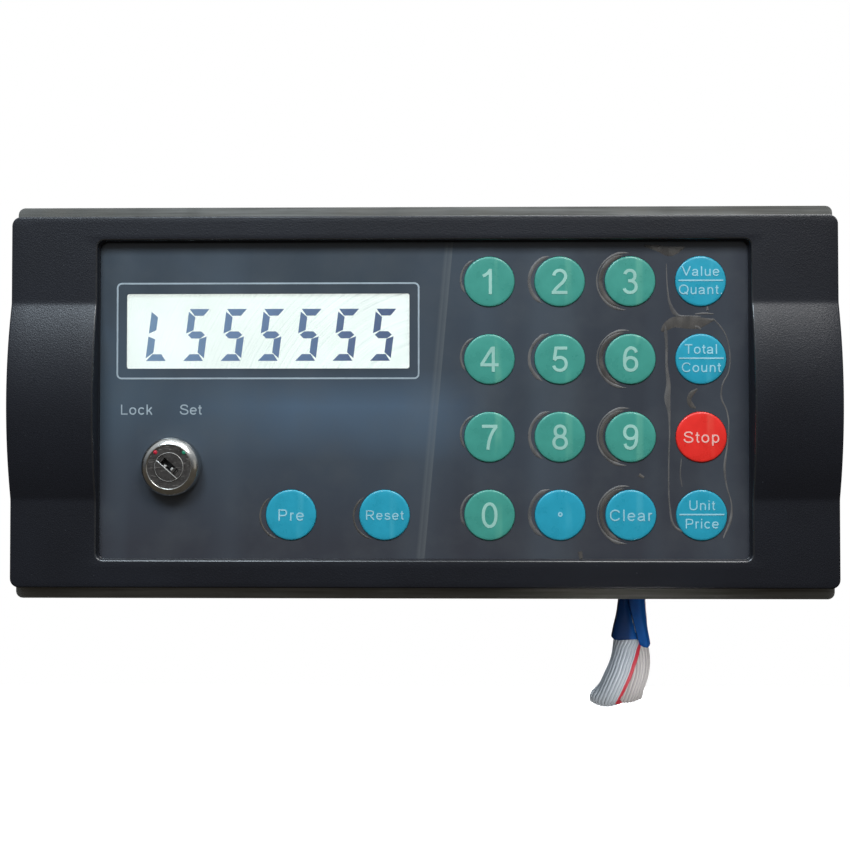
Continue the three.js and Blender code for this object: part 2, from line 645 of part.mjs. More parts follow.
// ---------------------------------------------------------------- ribbons
// A flat lead swept along its centre line. The section has eight sides, and its width stays
// as level as the route allows.
function ribbonLead(route) {
  const curve = new THREE.CatmullRomCurve3(
    route.map(([x, y, z]) => new THREE.Vector3(x, y, z)), false, 'centripetal');
  const steps = 40;
  const halfWidth = RIBBON_WIDTH / 2;
  const half = RIBBON_THICKNESS / 2;
  const section = [
    [-halfWidth, -half / 2], [-halfWidth + half, -half], [halfWidth - half, -half],
    [halfWidth, -half / 2], [halfWidth, half / 2], [halfWidth - half, half],
    [-halfWidth + half, half], [-halfWidth, half / 2],
  ];
  const positions = [];
  for (let step = 0; step <= steps; step += 1) {
    const centre = curve.getPointAt(step / steps);
    const tangent = curve.getTangentAt(step / steps);
    const across = new THREE.Vector3(1, 0, 0).addScaledVector(tangent, -tangent.x).normalize();
    const through = new THREE.Vector3().crossVectors(tangent, across);
    for (const [u, v] of section) {
      const point = centre.clone().addScaledVector(across, u).addScaledVector(through, v);
      positions.push(point.x, point.y, point.z);
    }
  }
  const sides = section.length;
  const index = [];
  for (let step = 0; step < steps; step += 1) {
    for (let side = 0; side < sides; side += 1) {
      const a = step * sides + side;
      const b = step * sides + (side + 1) % sides;
      index.push(a, b, b + sides, a, b + sides, a + sides);
    }
  }
  for (let side = 1; side < sides - 1; side += 1) {
    const last = steps * sides;
    index.push(0, side + 1, side);
    index.push(last, last + side, last + side + 1);
  }
  const geometry = new THREE.BufferGeometry();
  geometry.setAttribute('position', new THREE.Float32BufferAttribute(positions, 3));
  geometry.setIndex(index);
  return geometry;
}

// The outer shape of the folded length: its runs lie one behind the other.
const hankFront = HANK_FIRST_LEG_Y - 0.6;
const hankRear = HANK_FIRST_LEG_Y + (HANK_LEGS - 1) * HANK_LEG_STEP + 0.6;

function ribbonHank(x) {
  const middleY = (hankFront + hankRear) / 2;
  const outline = roundedRectangle(
    hankRear - hankFront, HANK_TOP - HANK_BOTTOM, 3, middleY, (HANK_TOP + HANK_BOTTOM) / 2, 3);
  const geometry = new THREE.ExtrudeGeometry(
    new THREE.Shape(outline), { depth: RIBBON_WIDTH, bevelEnabled: false });
  const turn = new THREE.Matrix4().makeBasis(
    new THREE.Vector3(0, 1, 0), new THREE.Vector3(0, 0, 1), new THREE.Vector3(1, 0, 0));
  geometry.applyMatrix4(turn);
  geometry.translate(x - RIBBON_WIDTH / 2, 0, 0);
  return geometry;
}

function ribbonPlug(x) {
  const top = HANK_BOTTOM - GAP;
  const bottom = top - PLUG_HOUSING_HEIGHT;
  const lastLeg = HANK_FIRST_LEG_Y + (HANK_LEGS - 1) * HANK_LEG_STEP;
  const body = block(x - PLUG_HOUSING_WIDTH / 2, x + PLUG_HOUSING_WIDTH / 2,
    lastLeg - PLUG_HOUSING_FRONT, lastLeg + PLUG_HOUSING_REAR, bottom, top);
  const polarisingRib = block(x - PLUG_RIB_WIDTH / 2, x + PLUG_RIB_WIDTH / 2,
    lastLeg + 1, lastLeg + PLUG_HOUSING_REAR, bottom - PLUG_RIB_HEIGHT, bottom + 0.2);
  return join(body, polarisingRib);
}

function tapeSleeve() {
  const outer = roundedRectangle(SLEEVE_WIDTH, SLEEVE_DEPTH, 1.6, RIBBON_X, RIBBON_Y, 3);
  const inner = roundedRectangle(SLEEVE_WIDTH - 2 * SLEEVE_WALL, SLEEVE_DEPTH - 2 * SLEEVE_WALL,
    0.8, RIBBON_X, RIBBON_Y, 3);
  return column(outer, SLEEVE_BOTTOM, -COVER_HEIGHT / 2 - GROMMET_LIP - GAP, [inner]);
}

// A strap round both hanks and through the bridge on the cover, closed by its square head.
function cableTie() {
  const left = HANK_A_X - RIBBON_WIDTH / 2 - GAP;
  const right = HANK_B_X + RIBBON_WIDTH / 2 + GAP;
  const front = COVER_REAR + 0.5;
  const rear = hankRear + GAP + TIE_THICKNESS;
  const outerLeft = left - TIE_THICKNESS;
  const outerRight = right + TIE_THICKNESS;
  const outline = roundedRectangle(outerRight - outerLeft, rear - front, 2,
    (outerLeft + outerRight) / 2, (front + rear) / 2, 3);
  const opening = roundedRectangle(right - left, rear - front - 2 * TIE_THICKNESS, 1,
    (left + right) / 2, (front + rear) / 2, 3);
  const strap = column(outline, TIE_Z - TIE_WIDTH / 2, TIE_Z + TIE_WIDTH / 2, [opening]);
  const headX = HANK_A_X + 1;
  const head = block(headX - TIE_HEAD_WIDTH / 2, headX + TIE_HEAD_WIDTH / 2,
    rear - 0.5, rear - 0.5 + TIE_HEAD_DEPTH,
    TIE_Z - TIE_HEAD_HEIGHT / 2, TIE_Z + TIE_HEAD_HEIGHT / 2);
  return join(strap, head);
}

// ---------------------------------------------------------------- assembly
const presetUnit = new THREE.Group();

function add(name, geometry, material) {
  const mesh = new THREE.Mesh(geometry, material);
  mesh.name = name;
  presetUnit.add(mesh);
}

add('front_bezel', frontBezel(), BLACK_PLASTIC);
add('overlay_film', overlayFilm(), FILM);
add('display_lens', displayLens(), CLEAR);
for (const [name, x, z] of keyPlaces) {
  add(name, keyCap(x, z), keyMaterial(name));
}
add('key_spacer', keySpacer(), WHITE_PLASTIC);
add('dome_sheet', domeSheet(), ZINC);
add('membrane_tail', membraneTail(), CLEAR);
add('tail_connector', tailConnector(), WHITE_PLASTIC);
add('mounting_plate', mountingPlate(), STEEL);
add('lcd_glass', lcdGlass(), CLEAR);
add('backlight_panel', backlightPanel(), WHITE_PLASTIC);
add('lcd_frame', lcdFrame(), BLACK_PLASTIC);
add('lcd_header', lcdHeader(), BLACK_PLASTIC);
add('lock_body', lockBody(), CHROME);
add('lock_plug', lockPlug(), CHROME);
add('lock_nut', lockNut(), ZINC);
add('lock_cam', lockCam(), ZINC);
add('key_switch', keySwitch(), BLACK_PLASTIC);
add('main_board', mainBoard(), BOARD_GREEN);
add('control_chip', controlChip(), BLACK_PLASTIC);
add('buzzer', buzzer(), BLACK_PLASTIC);
add('ribbon_socket_a', ribbonSocket(BOARD_FRONT - GAP - SOCKET_DEPTH), BLACK_PLASTIC);
add('ribbon_socket_b', ribbonSocket(boardRearFace), BLACK_PLASTIC);
POST_PLACES.forEach(([x, z], i) => add(`board_post_${i + 1}`, boardPost(x, z), WHITE_PLASTIC));
add('rear_cover', rearCover(), ZINC);
add('cable_grommet', cableGrommet(), RUBBER);
caseScrewPlaces.forEach(([x, z], i) => add(`case_screw_${i + 1}`, caseScrew(x, z), ZINC));
add('tape_sleeve', tapeSleeve(), TAPE_BLUE);
add('ribbon_a_lead', ribbonLead(RIBBON_A_ROUTE), RIBBON_GREY);
add('ribbon_a_hank', ribbonHank(HANK_A_X), RIBBON_GREY);
add('ribbon_a_plug', ribbonPlug(HANK_A_X), BLACK_PLASTIC);
add('ribbon_b_lead', ribbonLead(RIBBON_B_ROUTE), RIBBON_GREY);
add('ribbon_b_hank', ribbonHank(HANK_B_X), RIBBON_GREY);
add('ribbon_b_plug', ribbonPlug(HANK_B_X), BLACK_PLASTIC);
add('cable_tie', cableTie(), WHITE_PLASTIC);

export default presetUnit;
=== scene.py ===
"""Looks of a panel-mounted fuel dispenser preset keypad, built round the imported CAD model.

Shapes are written in millimetres and turned into metres by MM; lights, and places in a
material, are in metres. +X right, +Y into the panel, +Z up; the keys face -Y.
"""
import math

import bmesh
import bpy
from mathutils import Matrix, Vector, noise


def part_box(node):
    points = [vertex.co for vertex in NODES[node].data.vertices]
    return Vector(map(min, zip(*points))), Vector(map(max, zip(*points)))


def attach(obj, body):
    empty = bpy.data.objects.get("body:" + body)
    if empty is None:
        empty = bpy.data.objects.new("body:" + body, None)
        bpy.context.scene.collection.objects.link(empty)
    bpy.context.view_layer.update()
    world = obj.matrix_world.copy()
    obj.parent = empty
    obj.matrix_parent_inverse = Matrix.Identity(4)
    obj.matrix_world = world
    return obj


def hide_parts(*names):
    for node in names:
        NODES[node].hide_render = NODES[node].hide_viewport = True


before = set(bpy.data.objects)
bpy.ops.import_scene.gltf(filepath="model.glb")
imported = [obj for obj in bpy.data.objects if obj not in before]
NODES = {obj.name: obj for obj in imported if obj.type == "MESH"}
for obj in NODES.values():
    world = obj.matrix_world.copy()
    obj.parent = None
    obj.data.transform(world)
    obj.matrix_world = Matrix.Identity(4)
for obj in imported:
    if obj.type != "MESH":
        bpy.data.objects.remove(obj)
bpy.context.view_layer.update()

MM = 0.001
scene = bpy.context.scene

# ------------------------------------------------------------------ driving dimensions (mm)
BEZEL = (300.0, 135.0, 3.3)             # width, height, corner radius
WINDOW = (237.2, 116.9, 2.5)            # the same
WINDOW_Z = 0.3
BEZEL_FACE = -8.5
BEZEL_REAR = -1.8
WING_RISE = 5.0                         # how far the bulged ends stand out
WING_CHORD = 71.0                       # and how tall they are
WING_Z = 0.1
FILM_FRONT = -5.0
KEY_RADIUS = 9.2
KEY_PITCH = (25.6, 28.35)
KEY_FIRST = (24.2, 43.8)
LENS = (103.5, 27.3, 0.8)
LCD_CENTRE = (-56.8, 25.9)
LOCK = (-91.6, -23.7)
RIBBON_WIDTH = 12.7
WIRE_PITCH = 1.27
WIRES = 10
SMOOTH = 32                             # degrees between faces that still look smooth
WELD = 4e-6                             # metres
POLE = 0.001                            # radius that stands for a point on an axis


# ------------------------------------------------------------------ materials
BLACK = (0, 0, 0, 1)
M = {}                                  # every material by its name


def srgb(r, g, b):
    """Linear colour of an 0-255 screen colour."""
    def linear(c):
        c /= 255
        return c / 12.92 if c <= 0.04045 else ((c + 0.055) / 1.055) ** 2.4
    return (linear(r), linear(g), linear(b), 1.0)


def shade(colour, factor):
    return tuple(min(1.0, c * factor) for c in colour[:3]) + (1.0,)


def plug(tree, value, socket):
    """Link an output to the socket, or set the socket's own value."""
    if isinstance(value, bpy.types.NodeSocket):
        tree.links.new(value, socket)
    else:
        socket.default_value = value


def add_node(tree, kind, inputs=None, **settings):
    made = tree.nodes.new(kind)
    for key, value in settings.items():
        setattr(made, key, value)
    for key, value in (inputs or {}).items():
        plug(tree, value, made.inputs[key])
    return made


def set_stops(made, stops):
    """Stops of a colour ramp: a position and a colour, or a number for a grey."""
    elements = made.color_ramp.elements
    while len(elements) < len(stops):
        elements.new(0.5)
    for element, (position, tone) in zip(elements, stops):
        element.position = position
        element.color = tone if isinstance(tone, tuple) else (tone, tone, tone, 1)


class Graph:
    """A small helper that adds nodes to one new material and links them."""

    def __init__(self, name):
        self.material = M[name] = bpy.data.materials.new(name)
        self.material.use_nodes = True
        self.tree = self.material.node_tree
        self.shader = self.tree.nodes["Principled BSDF"]
        self.coords = self.tree.nodes.new("ShaderNodeTexCoord")

    def node(self, kind, inputs=None, **settings):
        return add_node(self.tree, kind, inputs, **settings)

    def place(self, scale=(1, 1, 1), rotation=(0, 0, 0), space="Object"):
        return self.node("ShaderNodeMapping", {
            "Vector": self.coords.outputs[space], "Scale": scale,
            "Rotation": rotation}).outputs["Vector"]

    def noise(self, scale, detail=3.0, rough=0.55, stretch=(1, 1, 1), distortion=0.0):
        return self.node("ShaderNodeTexNoise", {
            "Vector": self.place(stretch), "Scale": scale, "Detail": detail, "Roughness": rough,
            "Distortion": distortion}).outputs["Fac"]

    def voronoi(self, scale, output):
        return self.node("ShaderNodeTexVoronoi", {
            "Vector": self.place(), "Scale": scale}).outputs[output]

    def axis(self, index, space="Object"):
        return self.node("ShaderNodeSeparateXYZ", {
            "Vector": self.place(space=space)}).outputs[index]

    def ramp(self, factor, *stops):
        made = self.node("ShaderNodeValToRGB", {"Fac": factor})
        set_stops(made, stops)
        return made.outputs["Color"]

    def between(self, factor, low, high):
        """From the low colour to the high one over the middle of a noise's range."""
        return self.ramp(factor, (0.3, low), (0.7, high))

    def remap(self, factor, low, high, start=0.3, end=0.7):
        return self.node("ShaderNodeMapRange", {
            "Value": factor, "From Min": start, "From Max": end, "To Min": low,
            "To Max": high}).outputs["Result"]

    def rise(self, factor, start, end):
        """0 up to start, 1 from end on."""
        return self.remap(factor, 0.0, 1.0, start, end)

    def mix(self, factor, first, second):
        return self.node("ShaderNodeMix", {0: factor, 6: first, 7: second},
                         data_type="RGBA").outputs[2]

    def bump(self, height, distance_mm, strength=1.0, under=None):
        inputs = {"Height": height, "Distance": distance_mm * MM, "Strength": strength}
        if under is not None:
            inputs["Normal"] = under
        return self.node("ShaderNodeBump", inputs).outputs["Normal"]

    def partly_clear(self, share, tint=(1, 1, 1, 1)):
        """Keep a share of the shader and let the rest be see-through."""
        through = self.node("ShaderNodeBsdfTransparent", {"Color": tint}).outputs[0]
        blend = self.node("ShaderNodeMixShader",
                          {0: share, 1: through, 2: self.shader.outputs[0]})
        plug(self.tree, blend.outputs[0],
             self.tree.nodes["Material Output"].inputs["Surface"])

    def surface(self, **inputs):
        """Set or link the shader's inputs, named with an underscore for each space."""
        for key, value in inputs.items():
            plug(self.tree, value, self.shader.inputs[key.replace("_", " ")])


def plain_surface(name, colour, rough, metallic=0.0, grain=2500, relief=0.01):
    """Colour that wanders a little, roughness that follows it, and a fine grain."""
    g = Graph(name)
    wander = g.noise(60, 4, 0.6)
    spread = 0.12
    rough_spread = 0.08
    g.surface(Base_Color=g.between(wander, shade(colour, 1 - spread), shade(colour, 1 + spread)),
              Roughness=g.remap(wander, max(0.02, rough - rough_spread), rough + rough_spread),
              Normal=g.bump(g.noise(grain, 2, 0.6), relief), Metallic=metallic)


def bezel_plastic():
    """Near-black moulded plastic with a leathery skin and a few pale specks of dust."""
    g = Graph("bezel_plastic")
    grain = g.noise(2600, 2, 0.5)
    base = g.between(g.noise(18, 4, 0.6), srgb(21, 22, 28), srgb(28, 30, 37))
    specks = g.ramp(g.noise(900, 2, 0.7), (0.73, 0), (0.80, 1))
    skin = g.bump(g.voronoi(1900, "Distance"), 0.06, 0.6)
    g.surface(Base_Color=g.mix(specks, base, srgb(70, 72, 78)),
              Roughness=g.remap(grain, 0.31, 0.45), Normal=g.bump(grain, 0.022, 0.5, skin),
              Specular_IOR_Level=0.45)


def bezel_lip():
    """The moulded lip round the window, polished smoother than the rest."""
    g = Graph("bezel_lip")
    wander = g.noise(90, 3, 0.6)
    g.surface(Base_Color=g.between(wander, srgb(30, 31, 34), srgb(40, 41, 44)),
              Roughness=g.remap(wander, 0.18, 0.28),
              Normal=g.bump(g.noise(900, 2, 0.5), 0.006, 0.4), Specular_IOR_Level=0.8,
              Coat_Weight=0.4, Coat_Roughness=0.12)


def overlay_film():
    """Grey-blue film with painted reflection and shade: darker to the right and below, a painted
    blue reflection under the display, wear, upright painted sheen stripes, a painted highlight
    along one long fold and a painted shadow under the bezel's upper lip."""
    g = Graph("overlay")
    x, z = g.axis(0), g.axis(2)
    fine = g.noise(60, 4, 0.6)
    # Blotchy grey-blue tone, partly the film's own colour and partly painted reflection of the
    # room.
    base = g.ramp(g.noise(9, 3, 0.5, (1.0, 1, 1.6), 0.6), (0.35, srgb(64, 73, 81)),
                  (0.5, srgb(70, 80, 90)), (0.68, srgb(78, 93, 106)))
    # Painted reflection and shade: lighter and bluer to the left, greyer and darker to the right
    # and below.
    painted_reflection_leftward = g.remap(x, 1.0, 0.0, -0.02, 0.09)
    painted_side_shade = g.mix(g.rise(z, -0.052, 0.0), srgb(62, 64, 71),
                  g.mix(painted_reflection_leftward, srgb(61, 64, 71), base))
    # Painted reflection: a blue glint in a band under the display.
    along = g.ramp(g.rise(x, -0.095, 0.025), (0.0, 0), (0.4, 1), (0.8, 1), (1.0, 0))
    level = g.ramp(g.rise(z, -0.022, 0.012), (0.0, 0), (0.6, 0.5), (1.0, 0))
    painted_blue_glint = g.mix(g.mix(along, BLACK, level), painted_side_shade, srgb(98, 122, 146))
    worn = g.mix(g.ramp(fine, (0.45, 0), (0.8, 0.3)), painted_blue_glint, srgb(88, 92, 94))
    # Painted sheen: faint pale upright stripes.
    painted_sheen_stripes = g.ramp(g.noise(24, 2, 0.5, (1.4, 1, 0.09)), (0.50, 0), (0.72, 0.22))
    # A pale line along one long slanted fold: the fold is real, its paleness is painted highlight.
    slanted = g.node("ShaderNodeMath", {0: z, 1: -0.091, 2: x}, operation="MULTIPLY_ADD")
    fold = g.ramp(g.rise(slanted.outputs[0], 0.0024, 0.0066), (0.0, 0), (0.3, 0.2),
                  (0.42, 0.1), (0.75, 0.24), (0.82, 0))
    folded = g.mix(fold, g.mix(painted_sheen_stripes, worn, srgb(104, 116, 126)), srgb(136, 140, 138))
    # Painted shadow: dark along the top edge, under the bezel's upper lip.
    painted_lip_shadow = g.remap(z, 0.0, 0.7, 0.0536, 0.0583)
    sag = g.bump(g.noise(26, 2, 0.5, (1.6, 1, 0.35)), 0.25, 0.5)
    g.surface(Base_Color=g.mix(painted_lip_shadow, folded, srgb(20, 22, 26)),
              Roughness=g.remap(fine, 0.16, 0.26),
              Normal=g.bump(g.noise(700, 2, 0.5), 0.004, 0.6, sag), Specular_IOR_Level=0.55,
              Coat_Weight=0.25, Coat_Roughness=0.08)


def key_surface(name, colour, light):
    """Key colour with a painted sheen: a pale upright band, as of light on the soft film over it.
    """
    g = Graph(name)
    wander = g.noise(160, 3, 0.6)
    base = g.between(wander, shade(colour, 0.93), shade(colour, 1.07))
    # Painted sheen: a pale upright band, broken up by noise, in the sheen colour given as light.
    painted_sheen = g.ramp(g.axis(0, "Generated"), (0.0, 0), (0.58, 0), (0.63, 0.34), (0.70, 0.26),
                    (0.75, 0))
    broken = g.ramp(g.noise(60, 2, 0.5, (2.2, 1, 0.5)), (0.42, 0), (0.55, 1))
    g.surface(Base_Color=g.mix(g.mix(broken, BLACK, painted_sheen), base, light),
              Roughness=g.remap(wander, 0.24, 0.36),
              Normal=g.bump(g.noise(1100, 2, 0.5), 0.004, 0.7), Specular_IOR_Level=0.45,
              Coat_Weight=0.3, Coat_Roughness=0.12)


def brushed_steel(name, light, dark, stain, rough=0.36):
    g = Graph(name)
    lines = g.noise(420, 3, 0.6, (0.05, 1, 1.6))
    patches = g.noise(28, 4, 0.65)
    base = g.between(lines, dark, light)
    g.surface(Base_Color=g.mix(g.ramp(patches, (0.5, 0), (0.75, 0.4)), base, stain),
              Roughness=g.remap(patches, rough - 0.08, rough + 0.12),
              Normal=g.bump(lines, 0.012, 0.5), Metallic=0.78)


def galvanised(name):
    """Zinc crystals of slightly different greys, with a little grime."""
    g = Graph(name)
    crystal = g.node("ShaderNodeSeparateColor", {0: g.voronoi(240, "Color")}).outputs[0]
    grime = g.ramp(g.noise(22, 4, 0.6), (0.45, 0), (0.8, 0.6))
    base = g.ramp(crystal, (0.0, srgb(148, 152, 155)), (1.0, srgb(168, 172, 175)))
    g.surface(Base_Color=g.mix(grime, base, srgb(118, 122, 124)),
              Roughness=g.remap(crystal, 0.42, 0.50, 0.0, 1.0),
              Normal=g.bump(g.noise(900, 3, 0.6), 0.01, 0.4), Metallic=0.8)


def chrome(name, colour, rough):
    g = Graph(name)
    haze = g.noise(420, 4, 0.65)
    scratches = g.noise(900, 2, 0.5, (1, 1, 0.08))
    g.surface(Base_Color=g.between(haze, shade(colour, 0.82), colour),
              Roughness=g.remap(haze, rough * 0.6, rough * 1.6),
              Normal=g.bump(scratches, 0.004, 0.5), Metallic=1.0)


def worn_metal(name):
    """Dulled plating with scratches and darker grime between them."""
    g = Graph(name)
    fine = g.noise(2400, 3, 0.7, (1, 1, 0.3))
    scratches = g.ramp(g.noise(1500, 2, 0.6, (0.16, 1, 1.0), 1.4), (0.60, 0), (0.68, 1))
    base = g.between(g.noise(520, 5, 0.7), srgb(62, 58, 56), srgb(98, 94, 91))
    g.surface(Base_Color=g.mix(scratches, base, srgb(140, 136, 130)),
              Roughness=g.remap(fine, 0.34, 0.6), Normal=g.bump(fine, 0.012, 0.5),
              Metallic=0.7)


def clear_window(name, tint, gloss):
    """Mostly see-through sheet with a glossy skin."""
    g = Graph(name)
    g.surface(Base_Color=(0.9, 0.95, 0.95, 1),
              Roughness=g.remap(g.noise(300, 2, 0.5), 0.05, 0.12))
    g.partly_clear(gloss, tint)


def lifted_film(name, dark, light):
    """Protective film where air or a crease lifts it: patchy, grey and half clear."""
    g = Graph(name)
    patchy = g.noise(220, 3, 0.5, (1, 1, 0.6))
    g.surface(Base_Color=g.between(patchy, dark, light),
              Roughness=g.remap(patchy, 0.3, 0.5), Normal=g.bump(patchy, 0.02, 0.3))
    g.partly_clear(g.remap(patchy, 0.5, 0.8))


def lit_panel():
    g = Graph("lcd_glow")
    glow = g.ramp(g.noise(14, 2, 0.5), (0.35, srgb(252, 252, 248)), (0.65, srgb(254, 251, 253)))
    g.surface(Base_Color=g.mix(0.65, glow, BLACK), Emission_Color=glow, Emission_Strength=0.87,
              Roughness=0.3)


def lcd_segment():
    """Blue-grey segments, darker towards the right."""
    g = Graph("lcd_segment")
    tone = g.ramp(g.rise(g.axis(0), -0.102, -0.012), (0.0, srgb(118, 144, 182)),
                  (0.5, srgb(90, 114, 164)), (1.0, srgb(34, 58, 120)))
    g.surface(Base_Color=g.mix(g.remap(g.noise(500, 2, 0.5), 0.0, 0.25), tone,
                               srgb(90, 130, 160)), Roughness=0.35, Specular_IOR_Level=0.3)


def board_green():
    """Solder mask over a grid of fine traces."""
    g = Graph("circuit_board")
    traces = g.node("ShaderNodeTexBrick", {
        "Vector": g.place(rotation=(math.pi / 2, 0, 0)), "Scale": 210, "Mortar Size": 0.012,
        "Color1": srgb(24, 92, 58), "Color2": srgb(28, 100, 62), "Mortar": srgb(52, 128, 84)})
    g.surface(Base_Color=traces.outputs["Color"], Roughness=g.remap(g.noise(80), 0.25, 0.45))


def keypad_circuit():
    """Silver lines printed on the keypad's inner sheets."""
    g = Graph("keypad_circuit")
    lines = g.node("ShaderNodeTexWave", {"Vector": g.place(), "Scale": 160})
    g.surface(Base_Color=g.ramp(lines.outputs["Fac"], (0.4, srgb(176, 182, 180)),
                                (0.5, srgb(120, 126, 128))),
              Roughness=g.remap(g.noise(90), 0.35, 0.5))


def ribbon_jacket(name, colour):
    g = Graph(name)
    wander = g.noise(70, 4, 0.6, (1, 1, 0.4))
    g.surface(Base_Color=g.between(wander, shade(colour, 0.88), shade(colour, 1.1)),
              Roughness=g.remap(wander, 0.45, 0.6),
              Normal=g.bump(g.noise(1500, 2, 0.5), 0.006, 0.5), Specular_IOR_Level=0.35)


def tape_blue():
    """Wrinkled tape, dark blue on the left half and brighter on the folded right half: painted
    shade on the left, painted light on the right.
    """
    g = Graph("blue_tape")
    wander = g.noise(110, 4, 0.6, (1, 1, 0.45))
    # Painted light and shade: the left half painted dark as in shade, the right half painted
    # bright as lit.
    painted_lit_half = g.ramp(g.rise(g.axis(0), 0.0700, 0.0845), (0.0, 0), (0.45, 0.12), (0.56, 0.75),
                    (1.0, 1))
    painted_shaded_blue = g.between(wander, srgb(1, 22, 52), srgb(3, 32, 70))
    bright = g.between(wander, srgb(5, 54, 108), srgb(12, 72, 138))
    g.surface(Base_Color=g.mix(painted_lit_half, painted_shaded_blue, bright), Roughness=g.remap(wander, 0.5, 0.65),
              Normal=g.bump(g.noise(240, 3, 0.6, (1.4, 1, 0.4)), 0.12, 0.45),
              Specular_IOR_Level=0.1)


bezel_plastic()
bezel_lip()
overlay_film()
clear_window("clear_lens", (0.97, 1.0, 0.99, 1), 0.06)
# The last colour given for each key is that of its painted sheen.
key_surface("key_green", srgb(70, 158, 142), srgb(124, 196, 168))
key_surface("key_blue", srgb(42, 164, 190), srgb(92, 192, 210))
key_surface("key_red", srgb(248, 50, 42), srgb(250, 108, 88))
keypad_circuit()
brushed_steel("plate_steel", srgb(150, 150, 146), srgb(112, 111, 106), srgb(96, 84, 66))
brushed_steel("stud_steel", srgb(186, 186, 184), srgb(140, 140, 138), srgb(120, 112, 98), 0.3)
galvanised("cover_steel")
chrome("lock_chrome", srgb(214, 213, 208), 0.16)
chrome("zinc_steel", srgb(178, 180, 182), 0.3)
worn_metal("lock_face")
board_green()
lit_panel()
lcd_segment()
tape_blue()
lifted_film("blister", srgb(88, 84, 80), srgb(106, 101, 96))
lifted_film("crease", srgb(106, 104, 103), srgb(128, 125, 122))
for name, colour in (("ribbon_jacket", (156, 162, 168)), ("ribbon_jacket_b", (166, 162, 161)),
                     ("red_wire", (172, 40, 56))):
    ribbon_jacket(name, srgb(*colour))
# The groove colour among these is painted shade between a ribbon's wires.
for name, colour, rough in (
        ("legend_green", (164, 212, 198), 0.35), ("legend_blue", (164, 216, 228), 0.35),
        ("legend_red", (250, 188, 178), 0.35), ("print_grey", (172, 186, 194), 0.3),
        ("white_plastic", (214, 213, 206), 0.45), ("lcd_backlight", (226, 236, 234), 0.5),
        ("painted_groove_shade", (106, 109, 114), 0.6), ("keyway_black", (10, 10, 11), 0.5),
        ("dot_red", (206, 44, 66), 0.22), ("dot_green", (36, 138, 104), 0.22)):
    plain_surface(name, srgb(*colour), rough)
plain_surface("lock_edge", srgb(222, 220, 215), 0.3, metallic=0.55)
plain_surface("black_plastic", srgb(34, 35, 38), 0.45, grain=3000)
plain_surface("rubber", srgb(30, 30, 32), 0.62, grain=1800, relief=0.02)


# ------------------------------------------------------------------ mesh helpers
def add_object(name, data):
    obj = bpy.data.objects.new(name, data)
    scene.collection.objects.link(obj)
    return obj


def shade_by_angle(mesh, degrees):
    mesh.shade_smooth()
    mesh.set_sharp_from_angle(angle=math.radians(degrees))


def tidy_normals(mesh):
    """Weld points closer than WELD and turn every face outwards."""
    work = bmesh.new()
    work.from_mesh(mesh)
    bmesh.ops.remove_doubles(work, verts=work.verts, dist=WELD)
    bmesh.ops.recalc_face_normals(work, faces=work.faces)
    work.to_mesh(mesh)
    work.free()


def add_piece(name, mesh, body, replaces=(), angle=SMOOTH):
    """The piece of a finished mesh, smooth where faces meet at less than angle degrees."""
    shade_by_angle(mesh, angle)
    obj = add_object(name, mesh)
    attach(obj, body)
    if replaces:
        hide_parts(*replaces)
    return obj


def raw_mesh(name, shape):
    """A mesh from points in millimetres and faces."""
    points, faces = shape
    mesh = bpy.data.meshes.new(name)
    mesh.from_pydata([tuple(c * MM for c in p) for p in points], [], faces)
    return mesh


def mesh_piece(name, shape, material, body="housing", replaces=(),
               face_materials=(), extra=(), angle=SMOOTH):
    """A piece from points and faces; face_materials counts through material and extra."""
    mesh = raw_mesh(name, shape)
    for m in (material, *extra):
        mesh.materials.append(M[m])
    for polygon, index in zip(mesh.polygons, face_materials):
        polygon.material_index = index
    tidy_normals(mesh)
    return add_piece(name, mesh, body, replaces, angle)


def loft(loops, close_ends=False, cap=False):
    """Points and faces between successive closed loops of equal length."""
    count = len(loops[0])
    rings = len(loops)
    points = [p for loop in loops for p in loop]
    faces = []
    for i in range(rings if close_ends else rings - 1):
        n = (i + 1) % rings
        for j in range(count):
            k = (j + 1) % count
            faces.append((i * count + j, i * count + k, n * count + k, n * count + j))
    if cap:
        faces.append(tuple(range(count))[::-1])
        faces.append(tuple((rings - 1) * count + j for j in range(count)))
    return points, faces


def circle(radius, x, z, steps=64):
    return [(x + radius * math.cos(2 * math.pi * i / steps),
             z + radius * math.sin(2 * math.pi * i / steps)) for i in range(steps)]


def revolve(profile, x, z, sides):
    """Points and faces of a profile (radius, y) turned about an axis along Y."""
    loops = [[(cx, y, cz) for cx, cz in circle(max(r, POLE), x, z, sides)] for r, y in profile]
    hollow = profile[0][0] > 0 and profile[-1][0] > 0
    return loft(loops, close_ends=hollow, cap=not hollow)


def merge(parts):
    """One list of points and faces from several."""
    points, faces = [], []
    for p, f in parts:
        base = len(points)
        points += p
        faces += [tuple(i + base for i in face) for face in f]
    return points, faces


def rounded_rectangle(width, height, radius, x, z, steps=6):
    out = []
    for sx, sz, start in ((1, 1, 0), (-1, 1, 90), (-1, -1, 180), (1, -1, 270)):
        cx = x + sx * (width / 2 - radius)
        cz = z + sz * (height / 2 - radius)
        for i in range(steps + 1):
            a = math.radians(start + 90 * i / steps)
            out.append((cx + radius * math.cos(a), cz + radius * math.sin(a)))
    return out


def evaluated_mesh(obj):
    """Mesh of an object after its modifiers or curve settings."""
    bpy.context.view_layer.update()
    return bpy.data.meshes.new_from_object(
        obj.evaluated_get(bpy.context.evaluated_depsgraph_get()))


